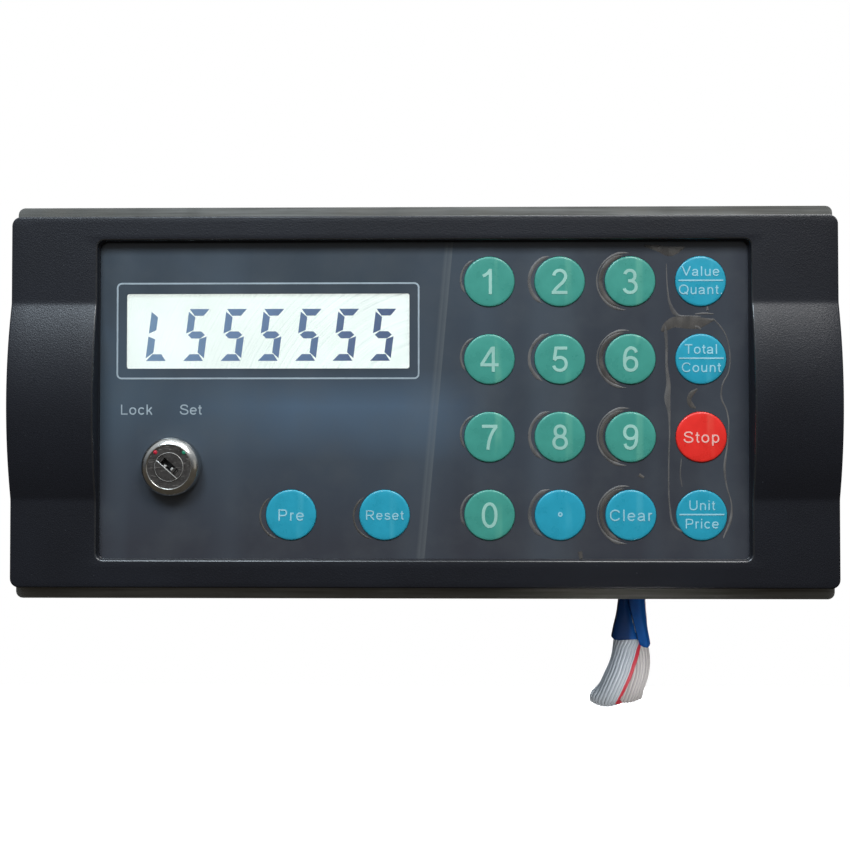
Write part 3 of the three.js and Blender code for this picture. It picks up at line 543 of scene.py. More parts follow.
def sheet_mesh(outlines, front, rear, edge=0.0):
    """A flat sheet: the first outline with the others cut out of it, front and rear in y."""
    data = bpy.data.curves.new("outline", "CURVE")
    data.dimensions = "2D"
    data.fill_mode = "BOTH"
    data.extrude = ((rear - front) / 2 - edge) * MM
    data.bevel_depth = edge * MM
    data.bevel_resolution = 2
    data.offset = -edge * MM
    for outline in outlines:
        spline = data.splines.new("POLY")
        spline.points.add(len(outline) - 1)
        for point, (x, z) in zip(spline.points, outline):
            point.co = (x * MM, z * MM, 0, 1)
        spline.use_cyclic_u = True
    obj = add_object("outline", data)
    mesh = evaluated_mesh(obj)
    bpy.data.objects.remove(obj)
    upright = Matrix.Rotation(math.pi / 2, 4, "X")
    mesh.transform(Matrix.Translation((0, (front + rear) / 2 * MM, 0)) @ upright)
    return mesh


def sheet(name, outlines, front, rear, material, replaces=()):
    """A flat sheet as a piece of the housing."""
    mesh = sheet_mesh(outlines, front, rear)
    mesh.name = name
    mesh.materials.clear()
    mesh.materials.append(M[material])
    tidy_normals(mesh)
    return add_piece(name, mesh, "housing", replaces)


def join_meshes(name, meshes, material, body, angle=SMOOTH):
    """One piece from several meshes."""
    work = bmesh.new()
    for m in meshes:
        work.from_mesh(m)
    bmesh.ops.recalc_face_normals(work, faces=work.faces)
    joined = bpy.data.meshes.new(name)
    work.to_mesh(joined)
    work.free()
    for polygon in joined.polygons:
        polygon.material_index = 0
    joined.materials.append(M[material])
    return add_piece(name, joined, body, angle=angle)


GLYPHS = {  # advance, then strokes, in hundredths of a capital's height
    "0": (77.7, ("oval", 38.8, 50, 25, 44.5, 0, 360)),
    "1": (77.7, ("line", 42.5, 0, 42.5, 100), ("curve", 41, 94, 33, 84, 22, 76, 13, 71.5)),
    "2": (77.7, ("oval", 38.5, 69.5, 23.5, 24.5, 172, -18), ("curve", 61, 63, 52, 48, 37, 34, 22,
         19, 12.5, 5), ("line", 7, 6.25, 69, 6.25)),
    "3": (77.7, ("oval", 37.5, 72.5, 20, 21, 165, -85), ("oval", 38, 28.5, 24, 23, 88, -165),
         ("line", 31, 52, 42, 51.5)),
    "4": (77.7, ("line", 54, 0, 54, 100), ("line", 3, 28, 75, 28), ("line", 50, 96, 7, 28)),
    "5": (77.7, ("line", 18, 93.75, 68, 93.75), ("line", 24, 98, 16.5, 47), ("oval", 38.5, 31.5,
         25, 25.5, 150, -165)),
    "6": (77.7, ("oval", 39.5, 31, 23.5, 25, 0, 360), ("curve", 16, 31, 15.5, 50, 18, 70, 25, 86,
         38, 94, 50, 92.5, 58, 86, 61.5, 76)),
    "7": (77.7, ("line", 9, 92.75, 70, 92.75), ("curve", 66, 92, 52, 72, 42, 50, 35, 25, 32.5,
         0)),
    "8": (77.7, ("oval", 38.8, 73.5, 19.5, 20.5, 0, 360), ("oval", 38.8, 29, 24.5, 23, 0, 360)),
    "9": (77.7, ("oval", 38.2, 69, 23.5, 25, 0, 360), ("curve", 61.7, 69, 62.2, 50, 59.7, 30,
         52.7, 14, 39.7, 6, 27.7, 7.5, 19.7, 14, 16.2, 24)),
    "C": (100.8, ("oval", 52, 50, 42, 44, 32, 328)),
    "L": (77.7, ("line", 15.5, 100, 15.5, 6.2, 74, 6.2)),
    "P": (93.2, ("line", 16, 0, 16, 100), ("curve", 16, 93.75, 56, 93.75, 75, 88, 81, 70, 75, 52,
         56, 45.5, 16, 45.5)),
    "Q": (108.7, ("oval", 54.5, 50, 44, 44, 0, 360), ("line", 63, 24, 96, -3)),
    "R": (100.8, ("line", 16, 0, 16, 100), ("line", 52, 46, 92, 0), ("curve", 16, 93.75, 62,
         93.75, 81, 88, 86, 71, 80, 54, 62, 47.5, 16, 47.5)),
    "S": (93.2, ("curve", 80, 73, 74, 87, 60, 93.5, 44, 94.5, 26, 90, 15.5, 79, 16, 67, 27, 58.5,
         47, 52.5, 68, 46, 81, 36, 82.5, 22, 74, 11, 57, 6, 40, 6, 22, 12, 12, 23, 9.5, 33)),
    "T": (85.3, ("line", 3, 93.75, 82.5, 93.75), ("line", 42.7, 94, 42.7, 0)),
    "U": (100.8, ("curve", 15, 100, 15, 66, 15, 36, 20, 17, 33, 7.5, 50.5, 5.5, 68, 7.5, 81, 17,
         86, 36, 86, 66, 86, 100)),
    "V": (93.2, ("line", 5, 100, 46.6, 5), ("line", 88, 100, 46.6, 5)),
    "a": (77.7, ("curve", 11, 51, 17, 62, 33, 66.5, 50, 64, 59.5, 53, 60, 40, 60, 12, 64, 0),
         ("curve", 60, 41, 42, 37, 22, 34, 11.5, 27, 10, 17, 18, 8, 33, 5.5, 50, 11, 60, 24)),
    "c": (69.8, ("oval", 37.5, 36.25, 27.5, 30.5, 40, 320)),
    "e": (77.7, ("line", 10, 37.5, 67, 37.5), ("oval", 38.8, 36.25, 28.5, 30.5, 3, 322)),
    "i": (31, ("line", 15.5, 72.5, 15.5, 0), ("line", 15.5, 100, 15.5, 86)),
    "k": (69.8, ("line", 14, 100, 14, 0), ("line", 58, 72.5, 15, 27), ("line", 30, 44, 62, 0)),
    "l": (31, ("line", 15.5, 100, 15.5, 0)),
    "n": (77.7, ("line", 15, 72.5, 15, 0), ("curve", 15, 43, 20, 59, 33, 66.5, 49, 65.5, 60, 56,
         62.5, 42, 62.5, 0)),
    "o": (77.7, ("oval", 38.8, 36.25, 28.5, 30.5, 0, 360)),
    "p": (77.7, ("line", 14.5, 72.5, 14.5, -26), ("oval", 40, 36.25, 26, 30.5, 0, 360)),
    "r": (46.5, ("line", 14.5, 72.5, 14.5, 0), ("curve", 14.5, 40, 18, 57, 28, 65, 41, 65)),
    "s": (69.8, ("curve", 58.5, 53, 51, 63, 35, 67, 18, 63, 11.5, 52, 19, 43, 36, 38, 53, 32,
         60.5, 20, 53, 9, 35, 5.5, 17, 9, 8.5, 21)),
    "t": (38.8, ("curve", 19, 92, 19, 60, 19, 20, 24, 8, 37, 6.5), ("line", 3, 66.5, 37, 66.5)),
    "u": (77.7, ("line", 63, 72.5, 63, 0), ("curve", 15, 72.5, 15, 30, 17.5, 13, 29, 6, 44, 7, 58,
         16, 63, 30)),
    ".": (38.8, ("line", 19, 14, 19, 0))}


def oval(centre_x, centre_z, wide, tall, start, end):
    """Points of a slightly squared ellipse between two angles."""
    squareness, steps = 0.93, 36
    out = []
    for i in range(steps + 1):
        a = math.radians(start + (end - start) * i / steps)
        c, d = math.cos(a), math.sin(a)
        out.append((centre_x + wide * math.copysign(abs(c) ** squareness, c),
                    centre_z + tall * math.copysign(abs(d) ** squareness, d)))
    return out


def stroke(points, width, front, depth):
    """A printed line of even width along flat points; returns points and faces."""
    closed = math.dist(points[0], points[-1]) < 1e-6
    if closed:
        points = points[:-1]
    count = len(points)
    loops = []
    for i, (x, z) in enumerate(points):
        before = points[i - 1] if closed or i else None
        after = points[(i + 1) % count] if closed or i < count - 1 else None
        sides = []
        for a, b in ((before, (x, z)), ((x, z), after)):
            if a and b:
                length = math.dist(a, b)
                sides.append(((a[1] - b[1]) / length, (b[0] - a[0]) / length))
        nx = sum(side[0] for side in sides) / len(sides)
        nz = sum(side[1] for side in sides) / len(sides)
        reach = width / 2 / (nx * nx + nz * nz)
        loops.append([(x + nx * reach * s, y, z + nz * reach * s)
                      for s, y in ((1, front), (-1, front), (-1, front + depth),
                                   (1, front + depth))])
    return loft(loops, close_ends=closed, cap=not closed)


def lettering(words, cap_height, x, z, front, weight=0.125, gap=0.05, depth=0.08):
    """Words in plain strokes, centred on (x, z); returns parts for merge."""
    widths = [GLYPHS[letter][0] / 100 + gap for letter in words]
    cursor = -sum(widths) / 2 + gap / 2
    layer = 0.012                       # each stroke lies this much over the one before
    parts = []
    for letter, width in zip(words, widths):
        for order, (kind, *shape) in enumerate(GLYPHS[letter][1:]):
            if kind == "oval":
                line = oval(*(n / 100 for n in shape[:4]), *shape[4:])
            else:
                line = [(a / 100, b / 100) for a, b in zip(shape[::2], shape[1::2])]
            if kind == "curve":
                line = [(p.x, p.z) for p in spline_points([(a, 0, b) for a, b in line], 0.05)]
            spots = [(x + (cursor + a) * cap_height, z + (b - 0.5) * cap_height) for a, b in line]
            parts.append(stroke(spots, weight * cap_height, front - layer * order, depth))
        cursor += width
    return parts


def printed(name, parts, material, body):
    mesh_piece(name, merge(parts), material, body=body, angle=50)


def spline_points(route, spacing=2.0):
    """A smooth curve through the route's points (centripetal), sampled about every spacing mm."""
    pts = [Vector(p) for p in route]
    pts = [pts[0] * 2 - pts[1]] + pts + [pts[-1] * 2 - pts[-2]]

    def between(first, second, start, end, t):
        return first * ((end - t) / (end - start)) + second * ((t - start) / (end - start))

    out = []
    for i in range(1, len(pts) - 2):
        p0, p1, p2, p3 = pts[i - 1:i + 3]
        t0 = 0.0
        t1 = t0 + max(1e-4, (p1 - p0).length) ** 0.5
        t2 = t1 + (p2 - p1).length ** 0.5
        t3 = t2 + max(1e-4, (p3 - p2).length) ** 0.5
        steps = max(2, round((p2 - p1).length / spacing))
        for s in range(steps):
            t = t1 + (t2 - t1) * s / steps
            a1 = between(p0, p1, t0, t1, t)
            a2 = between(p1, p2, t1, t2, t)
            a3 = between(p2, p3, t2, t3, t)
            b1 = between(a1, a2, t0, t2, t)
            b2 = between(a2, a3, t1, t3, t)
            out.append(between(b1, b2, t1, t2, t))
    out.append(pts[-2])
    return out


# ------------------------------------------------------------------ camera
def aimed(name, data, position, aim):
    """A camera or light at a position in metres that looks at the aim."""
    obj = add_object(name, data)
    obj.location = position
    obj.rotation_euler = (Vector(aim) - Vector(position)).to_track_quat("-Z", "Y").to_euler()
    return obj


def add_camera():
    data = bpy.data.cameras.new("camera")
    data.lens = 50.37
    data.sensor_width = 36
    data.clip_start = 0.01
    scene.camera = aimed("camera", data, Vector((7.60, -438.30, -17.30)) * MM,
                         Vector((0.77, -8.5, -8.54)) * MM)


add_camera()


# ------------------------------------------------------------------ ribbon cables
ROUTE_A = [
    (77.4, 9.2, -42.3), (77.4, 9.7, -46.5), (77.4, 11, -51.5), (77.4, 11.3, -57),
    (77.4, 11.3, -67), (77.4, 11.3, -78), (77, 11.1, -88), (76, 10.9, -95.5),
    (74.2, 11.9, -102), (71.4, 15.2, -109), (69.8, 20.6, -114.2), (71.2, 27.4, -116.1),
    (74.6, 34, -114), (78.6, 38.4, -108.3), (81.4, 40.2, -100.5), (82.2, 40.5, -92),
    (82.4, 40.5, -83), (82.5, 40.5, -77), (79.6, 40.4, -69.8), (74.2, 39.9, -62),
    (69.6, 38.8, -55.4), (67.3, 37.9, -51.2), (67, 37.6, -47.9)]
ROUTE_B = [
    (77.4, 17.4, -42.3), (77.4, 16.7, -45.2), (77.4, 13.9, -48.8), (77.4, 12.8, -52.5),
    (77.4, 12.7, -67), (77.4, 12.6, -80), (77.5, 12.6, -87.5), (80.1, 14.9, -94.5),
    (80.5, 16.6, -101), (78.9, 19.3, -108.6), (78, 22.9, -113.3), (78.4, 27.8, -114.8),
    (79.8, 32.6, -112.2), (81.2, 35.9, -105.8), (82, 37.3, -98), (82.1, 37.6, -89),
    (82.2, 37.7, -81), (82.2, 37.7, -74), (84, 37.8, -66), (86.2, 37.7, -57),
    (87, 37.6, -51.5), (87, 37.6, -47.9)]
HANK_X = {"a": 67.0, "b": 87.0}
HANK_START = -47.9
LEG_FIRST_Y = 37.6
LEG_STEP = 5.4
FOLD_TOP = 33.7
FOLD_BOTTOM = -44.4
PLUG_ENTRY = -50.9


def hank_points(x):
    """Four upright runs, folded over each other, that end in the plug."""
    out = []
    legs, steps, fold_steps = 4, 22, 8
    radius = LEG_STEP / 2
    for leg in range(legs):
        y = LEG_FIRST_Y + leg * LEG_STEP
        side = 1 if leg % 2 == 0 else -1
        start, end = (FOLD_BOTTOM, FOLD_TOP)[::side]
        if leg == 0:
            start = HANK_START
        if leg == legs - 1:
            end = PLUG_ENTRY
        for s in range(1 if leg == 0 else 0, steps + 1):
            out.append(Vector((x, y, start + (end - start) * s / steps)))
        if leg < legs - 1:
            for s in range(1, fold_steps):
                a = math.pi * s / fold_steps
                out.append(Vector((x, y + radius - radius * math.cos(a),
                                   end + side * radius * math.sin(a))))
    return out


def level_at(knots, z):
    """Smooth value between (height, value) knots, listed from the top down."""
    if z >= knots[0][0]:
        return knots[0][1]
    for (high, first), (low, second) in zip(knots, knots[1:]):
        if z >= low:
            t = (high - z) / (high - low)
            return first + (second - first) * t * t * (3 - 2 * t)
    return knots[-1][1]


CURL_UP = [(-52, 0), (-62, 0.6), (-70, 1), (-80, 1), (-86, 0.6), (-96, 0.1), (-106, 0.2),
           (-113, 0.6), (-116.2, 0.6)]
CURL_TAPED = [(-54, 0), (-60, 1.2), (-66, 1.4), (-73, 1.5), (-80, 1.35), (-88, 1.1)]
CURL_DOWN = {
    "ribbon_a": CURL_TAPED + [(-93, 1.12), (-98, 1.22), (-106, 1.22), (-111, 1.3), (-114.5, 0.75),
                              (-116.2, 0.6)],
    "ribbon_b": CURL_TAPED + [(-94, 1), (-100, 0.95), (-108, 0.85), (-113, 0.7), (-116, 0.6)]}
ROLL = {"ribbon_a": [(-88, 0), (-93, 2.3), (-98, 2.6), (-108, 2.8), (-113, 2), (-116, 0.3)],
        "ribbon_b": [(-88, 0)]}
SHIFT = {"ribbon_a": [(-62, 0), (-73, 0.8), (-84, 0), (-88, 0), (-93, -1.5), (-98, -2),
                      (-104, -2), (-109, -1.7), (-113, -1.3), (-116, -0.2)],
         "ribbon_b": [(-62, 0), (-73, 0.8), (-84, 0)]}


def curled(u, v, bend, roll, shift):
    """Place across and through a ribbon whose edges curl back round a line roll to the right."""
    if bend < 0.02:
        return u + shift, v
    radius = RIBBON_WIDTH / 2 / (1.05 * bend)
    angle = (u - roll) / radius
    return (roll + (radius + v) * math.sin(angle) + shift,
            (radius + v) * math.cos(angle) - radius + 0.9 * bend)


def ribbon_section():
    """Outline of ten round wires side by side: across, through, number of the wire."""
    half = WIRE_PITCH / 2
    section = []
    for side in (1, -1):
        for wire in range(WIRES)[::side]:
            for d in (-0.56, -0.36, -0.12, 0.12, 0.36, 0.56):
                high = 0.45 * math.sqrt(1 - (d / half) ** 2) + 0.02
                section.append(((wire - (WIRES - 1) / 2) * WIRE_PITCH + d * side, side * high,
                                wire))
    return section


def ribbon(name, route, x, red_wire, jacket):
    """The wires swept along the route and the hank; returns piece, path and length."""
    start = spline_points(route)
    line = start + hank_points(x)
    section = ribbon_section()
    turn_y = 24                         # beyond it the ribbon is on its way up
    loops = []
    for i, p in enumerate(line):
        tangent = (line[min(i + 1, len(line) - 1)] - line[max(i - 1, 0)]).normalized()
        across = Vector((1, 0, 0))
        across = (across - tangent * across.dot(tangent)).normalized()
        through = tangent.cross(across)
        bend = roll = shift = 0.0
        if i < len(start) and p.y > turn_y:
            bend = level_at(CURL_UP, p.z)
        elif i < len(start):
            bend, roll, shift = (level_at(knots[name], p.z) for knots in (CURL_DOWN, ROLL, SHIFT))
        loop = []
        for u, v, _ in section:
            flat, lift = curled(u, v, bend, roll, shift)
            loop.append(tuple(p + across * flat + through * lift))
        loops.append(loop)
    points, faces = loft(loops, cap=True)
    count = len(section)
    red_centre = (red_wire - (WIRES - 1) / 2) * WIRE_PITCH
    red_reach = 1.35
    marks = []                          # 0 jacket, 1 red wire, 2 painted shade in the groove between wires
    for face in faces:
        first, second = section[face[0] % count], section[face[1] % count]
        red = abs((first[0] + second[0]) / 2 - red_centre) < red_reach
        # Faces between two wires get the painted groove shade.
        groove = first[2] != second[2]
        marks.append(0 if len(face) != 4 else 1 if red else 2 if groove else 0)
    piece = mesh_piece(name, (points, faces), jacket, face_materials=marks,
                       extra=("red_wire", "painted_groove_shade"),
                       replaces=(name + "_lead", name + "_hank"), angle=60)
    length = sum((b - a).length for a, b in zip(line, line[1:]))
    return piece, [tuple(p * MM) for p in line], length


def ribbon_plug(name, x):
    """Ten-way socket crimped on the ribbon: body with holes, clamping bar and keying rib."""
    half = 8.65
    low, high = -54.1, HANK_START
    tall, middle = high - low, (low + high) / 2
    ribbon_y = LEG_FIRST_Y + 3 * LEG_STEP
    pin_pitch = 2.54
    body = rounded_rectangle(2 * half, tall, 0.4, x, middle, 3)
    holes = [rounded_rectangle(0.95, 0.95, 0.1, x + (c - 2) * pin_pitch,
                               middle + s * pin_pitch / 2, 2)
             for c in range(5) for s in (-1, 1)]
    bar = rounded_rectangle(2 * half - 1.2, tall - 0.4, 0.4, x, middle, 3)
    rib = rounded_rectangle(4.2, 1.2, 0.2, x, low - 0.4, 2)
    layers = [([body] + holes, 2.4, 8.8, 0.15), ([body], 0.6, 2.5, 0.15), ([bar], -3.0, -0.6, 0.2),
              ([rib], 3.0, 8.8, 0.1)]
    for side in (-1, 1):
        latch = rounded_rectangle(1.1, tall - 1.6, 0.2, x + side * (half - 0.55), middle, 2)
        layers.append(([latch], -2.2, 1.2, 0.1))
    meshes = [sheet_mesh(outlines, ribbon_y + front, ribbon_y + rear, edge)
              for outlines, front, rear, edge in layers]
    piece = join_meshes(name + "_body", meshes, "black_plastic", "housing")
    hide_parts(name)
    return piece


ribbon_a, path_a, length_a = ribbon("ribbon_a", ROUTE_A, HANK_X["a"], WIRES - 1, "ribbon_jacket")
ribbon_b, path_b, length_b = ribbon("ribbon_b", ROUTE_B, HANK_X["b"], 0, "ribbon_jacket_b")
plug_a = ribbon_plug("ribbon_a_plug", HANK_X["a"])
plug_b = ribbon_plug("ribbon_b_plug", HANK_X["b"])


# ------------------------------------------------------------------ tape round the ribbons
SLEEVE = [  # height, left edge, right edge, flap edge, crease, front
    (-56.8, 70.6, 84.2, 76.2, 79.4, 9.5),
    (-62.0, 72.0, 83.2, 76.0, 79.4, 8.6),
    (-68.0, 72.8, 82.8, 76.0, 79.7, 7.9),
    (-73.0, 73.1, 82.7, 76.3, 80.3, 7.7),
    (-79.0, 72.3, 83.3, 77.9, 81.3, 8.2),
    (-84.0, 71.2, 84.1, 79.3, 82.6, 8.8),
    (-88.0, 70.5, 85.0, 80.5, 83.6, 9.2),
    (-91.3, 70.3, 85.6, 81.3, 84.5, 9.4)]


def sleeve_at(z):
    """The row of SLEEVE at a height within it."""
    for upper, lower in zip(SLEEVE, SLEEVE[1:]):
        if z >= lower[0]:
            t = (upper[0] - z) / (upper[0] - lower[0])
            return [a + (b - a) * t for a, b in zip(upper[1:], lower[1:])]


def tape_sleeve():
    """Tape wrapped once round both ribbons, its free end folded over on the right."""
    levels = 22
    top, bottom, rear = SLEEVE[0][0], -88.4, 16.0
    loops = []
    for i in range(levels + 1):
        s = i / levels
        z = top + (bottom - top) * s
        left, right, flap, crease, front = sleeve_at(z)
        shape = [  # x, y, extra drop at the lower end
            (left + 0.1, front + 3.2, -0.9), (left, front + 2.0, -0.8),
            (left + 0.25, front + 0.9, -0.4), (left + 1.0, front + 0.35, 0.2),
            (left + 2.4, front + 0.1, 0.4), ((left + flap) / 2, front, 0.2),
            (flap - 1.6, front + 0.3, 0.0), (flap - 0.6, front + 1.0, 0.1),
            (flap - 0.1, front + 1.6, 0.5), (flap, front + 0.7, 1.3),
            (flap + 0.05, front - 0.15, 2.0),
            ((flap + crease) / 2, front - 0.5, 2.8), (crease - 0.1, front - 0.75, 3.0),
            (crease + 0.1, front - 0.7, 2.8), ((crease + right) / 2, front + 0.1, 2.5),
            (right - 0.1, front + 1.2, 1.8), (right, front + 2.4, 1.2),
            (right - 0.1, front + 3.6, 0.9), (right - 0.7, rear - 0.4, 0.8),
            (right - 2.0, rear, 0.6), ((left + right) / 2, rear + 0.1, 0.4),
            (left + 2.0, rear, 0.2), (left + 0.7, rear - 0.4, 0.1)]
        loops.append([(x, y, z - drop * s ** 3) for x, y, drop in shape])
    piece = mesh_piece("tape_sleeve_wrap", loft(loops), "blue_tape", replaces=("tape_sleeve",),
                       angle=28)
    thick = piece.modifiers.new("thickness", "SOLIDIFY")
    thick.thickness = 0.16 * MM
    thick.offset = -1
    return piece


sleeve = tape_sleeve()


# ------------------------------------------------------------------ bezel
def wing_bulge(z):
    """How far the ends stand in front of the bezel's face at height z, creases softened."""
    half = WING_CHORD / 2
    radius = (half ** 2 + WING_RISE ** 2) / (2 * WING_RISE)
    d = z - WING_Z
    arc = math.sqrt(max(0.0, radius ** 2 - d ** 2)) - (radius - WING_RISE)
    soften = 0.22
    return (arc + math.sqrt(arc * arc + soften * soften)) / 2


def side_rows():
    """Heights of the points along the window's upright sides; close together at the creases."""
    runs = ((-55.65, 3.6, 5), (-38.0, 0.45, 12), (-32.0, 2.2, 30), (33.2, 0.45, 12),
            (41.0, 3.8, 5))
    return [first + i * step for first, step, count in runs for i in range(count)]


def bezel_loop(width, height, radius, centre_z, y, follow):
    """A rounded rectangle whose points match those of every other loop of the bezel."""
    rows = side_rows()
    low, high = centre_z - height / 2 + radius, centre_z + height / 2 - radius
    half = width / 2
    stretch_from, level_steps, corner_steps = 40, 28, 8
    flat = []

    def stretched(z):
        end, row = (high, rows[-1]) if z > 0 else (low, rows[0])
        fixed = math.copysign(stretch_from, z)
        return fixed + (z - fixed) * (end - fixed) / (row - fixed) if abs(z) > stretch_from else z

    def corner(x, z, quarter):
        for i in range(1, corner_steps):
            a = math.pi / 2 * (quarter + i / corner_steps)
            flat.append((x + radius * math.cos(a), z + radius * math.sin(a)))

    def level_side(z, direction):
        for i in range(level_steps + 1):
            flat.append(((half - radius) * direction * (2 * i / level_steps - 1), z))

    flat += [(half, stretched(z)) for z in rows]
    corner(half - radius, high, 0)
    level_side(high + radius, -1)
    corner(radius - half, high, 1)
    flat += [(-half, stretched(z)) for z in reversed(rows)]
    corner(radius - half, low, 2)
    level_side(low - radius, 1)
    corner(half - radius, low, 3)
    return [(x, y - (wing_bulge(z) if follow else 0.0), z) for x, z in flat]


def bezel():
    """Front frame: a flat face with a bulged end each side, rounded edges and a window."""
    width, height, corner = BEZEL
    open_width, open_height, open_corner = WINDOW
    outer_fillet, inner_fillet = 0.7, 0.62
    polished_rows = (12, 13, 14, 15, 17)
    lift = 0.75                                     # the window's lower lip stands higher
    outer_inset, inner_outset = 1.8, 1.5            # where the flat face begins and ends
    loops = [bezel_loop(width, height, corner, 0, y, False) for y in (BEZEL_REAR, -3.0)]
    for i in range(6):
        a = math.pi / 2 * i / 5
        inset = outer_fillet * (1 - math.cos(a))
        loops.append(bezel_loop(width - 2 * inset, height - 2 * inset, corner - inset * 0.8, 0,
                                BEZEL_FACE + outer_fillet * (1 - math.sin(a)), True))
    for share in (0.2, 0.4, 0.6, 0.8):
        wide, tall = (outer - outer_inset + (inner + inner_outset - outer + outer_inset) * share
                      for outer, inner in ((width, open_width), (height, open_height)))
        loops.append(bezel_loop(wide, tall, corner, WINDOW_Z * share, BEZEL_FACE, True))
    for i in range(5):
        a = math.pi / 2 * (1 - i / 4)
        outset = inner_fillet * (1 - math.cos(a))
        loops.append(bezel_loop(open_width + 2 * outset, open_height + 2 * outset - lift,
                                open_corner + outset, WINDOW_Z + lift / 2,
                                BEZEL_FACE + inner_fillet * (1 - math.sin(a)), True))
    for inset, y in ((0.12, -6.3), (0.3, -5.95), (0.34, -5.08)):
        loops.append(bezel_loop(open_width - 2 * inset, open_height - 2 * inset - lift,
                                open_corner, WINDOW_Z + lift / 2, y, False))
    for y in (-5.0, BEZEL_REAR):
        loops.append(bezel_loop(open_width + 0.6, open_height + 0.6, open_corner, WINDOW_Z, y,
                                False))
    points, faces = loft(loops, close_ends=True)
    count = len(loops[0])
    marks = [int(index // count in polished_rows) for index in range(len(faces))]
    mesh_piece("bezel_frame", (points, faces), "bezel_plastic", replaces=("front_bezel",),
               face_materials=marks, extra=("bezel_lip",), angle=50)


bezel()


# ------------------------------------------------------------------ film, print, display
KEYS = [  # name, column, row, colour, lines of the legend
    ("key_1", 0, 0, "green", "1"), ("key_2", 1, 0, "green", "2"), ("key_3", 2, 0, "green", "3"),
    ("key_value", 3, 0, "blue", "Value/Quant."),
    ("key_4", 0, 1, "green", "4"), ("key_5", 1, 1, "green", "5"), ("key_6", 2, 1, "green", "6"),
    ("key_total", 3, 1, "blue", "Total/Count"),
    ("key_7", 0, 2, "green", "7"), ("key_8", 1, 2, "green", "8"), ("key_9", 2, 2, "green", "9"),
    ("key_stop", 3, 2, "red", "Stop"),
    ("key_0", 0, 3, "green", "0"), ("key_dot", 1, 3, "blue", "."),
    ("key_clear", 2, 3, "blue", "Clear"), ("key_price", 3, 3, "blue", "Unit/Price"),
    ("key_preset", None, 3, "blue", "Pre"), ("key_reset", None, 3, "blue", "Reset")]
LONE_KEY_X = {"key_preset": -48.1, "key_reset": -14.0}


def key_centre(name, column, row):
    x = LONE_KEY_X[name] if column is None else KEY_FIRST[0] + KEY_PITCH[0] * column
    return x, KEY_FIRST[1] - KEY_PITCH[1] * row


def film():
    """The overlay sheet with its openings for the keys, the lock and the display window."""
    margin, corner, key_gap, lens_gap, lock_opening, thickness = 0.6, 2.2, 0.14, 0.1, 8.2, 0.5
    outline = rounded_rectangle(WINDOW[0] - margin, WINDOW[1] - margin, corner, 0, WINDOW_Z)
    holes = [circle(KEY_RADIUS + key_gap, *key_centre(n, c, r)) for n, c, r, _, _ in KEYS]
    holes.append(circle(lock_opening, *LOCK))
    holes.append(rounded_rectangle(LENS[0] + lens_gap, LENS[1] + lens_gap, LENS[2], *LCD_CENTRE))
    sheet("overlay_sheet", [outline] + holes, FILM_FRONT, FILM_FRONT + thickness, "overlay",
          replaces=("overlay_film",))


def printed_border():
    """Fine rounded line round the display."""
    width, height, line, radius = 111.0, 35.4, 0.6, 1.9
    outlines = [rounded_rectangle(width - 2 * inset, height - 2 * inset, radius - inset,
                                  LCD_CENTRE[0], 26.0) for inset in (0, line)]
    join_meshes("display_border", [sheet_mesh(outlines, FILM_FRONT - 0.04, FILM_FRONT + 0.02)],
                "print_grey", "housing")


def lock_words():
    """The two legends over the lock."""
    front, height, level = FILM_FRONT - 0.05, 3.7, -2.8
    parts = (lettering("Lock", height, -104.9, level, front, gap=0.1)
             + lettering("Set", height, -85.0, level, front, gap=0.06))
    printed("lock_legend", parts, "print_grey", "housing")


SEGMENTS = {                            # corners of the segments that are lit in some digit
    "a": [(0.2, 19.1), (7.5, 19.1), (5.6, 16.6), (2.3, 16.6)],
    "c": [(7.7, 9.0), (5.1, 8.0), (5.1, 3.1), (7.7, 1.0)],
    "d": [(0.2, 0.0), (7.5, 0.0), (5.6, 2.5), (2.3, 2.5)],
    "e": [(0.0, 9.0), (2.6, 8.0), (2.6, 3.1), (0.0, 1.0)],
    "f": [(0.0, 18.1), (2.6, 16.1), (2.6, 11.3), (0.0, 10.1)],
    "g": [(0.75, 9.55), (2.2, 10.85), (5.5, 10.85), (7.0, 9.55), (5.5, 8.25), (2.2, 8.25)]}
SHOWN = ["def"] + ["acdfg"] * 6


def display():
    """Lit panel and the dark segments printed in the display glass."""
    front = -4.1
    first_x, pitch, base, lean = -101.95, 13.72, 15.05, 0.125
    sheet("lcd_lit_face", [rounded_rectangle(107, 31, 0.5, *LCD_CENTRE)], front, front + 0.6,
          "lcd_glow")
    meshes = []
    for index, lit in enumerate(SHOWN):
        left = first_x + pitch * index
        for name in lit:
            outline = [(left + x + lean * z, base + z) for x, z in SEGMENTS[name]]
            meshes.append(sheet_mesh([outline], front - 0.06, front + 0.05))
    join_meshes("lcd_segments", meshes, "lcd_segment", "housing")


film()
printed_border()
lock_words()
display()


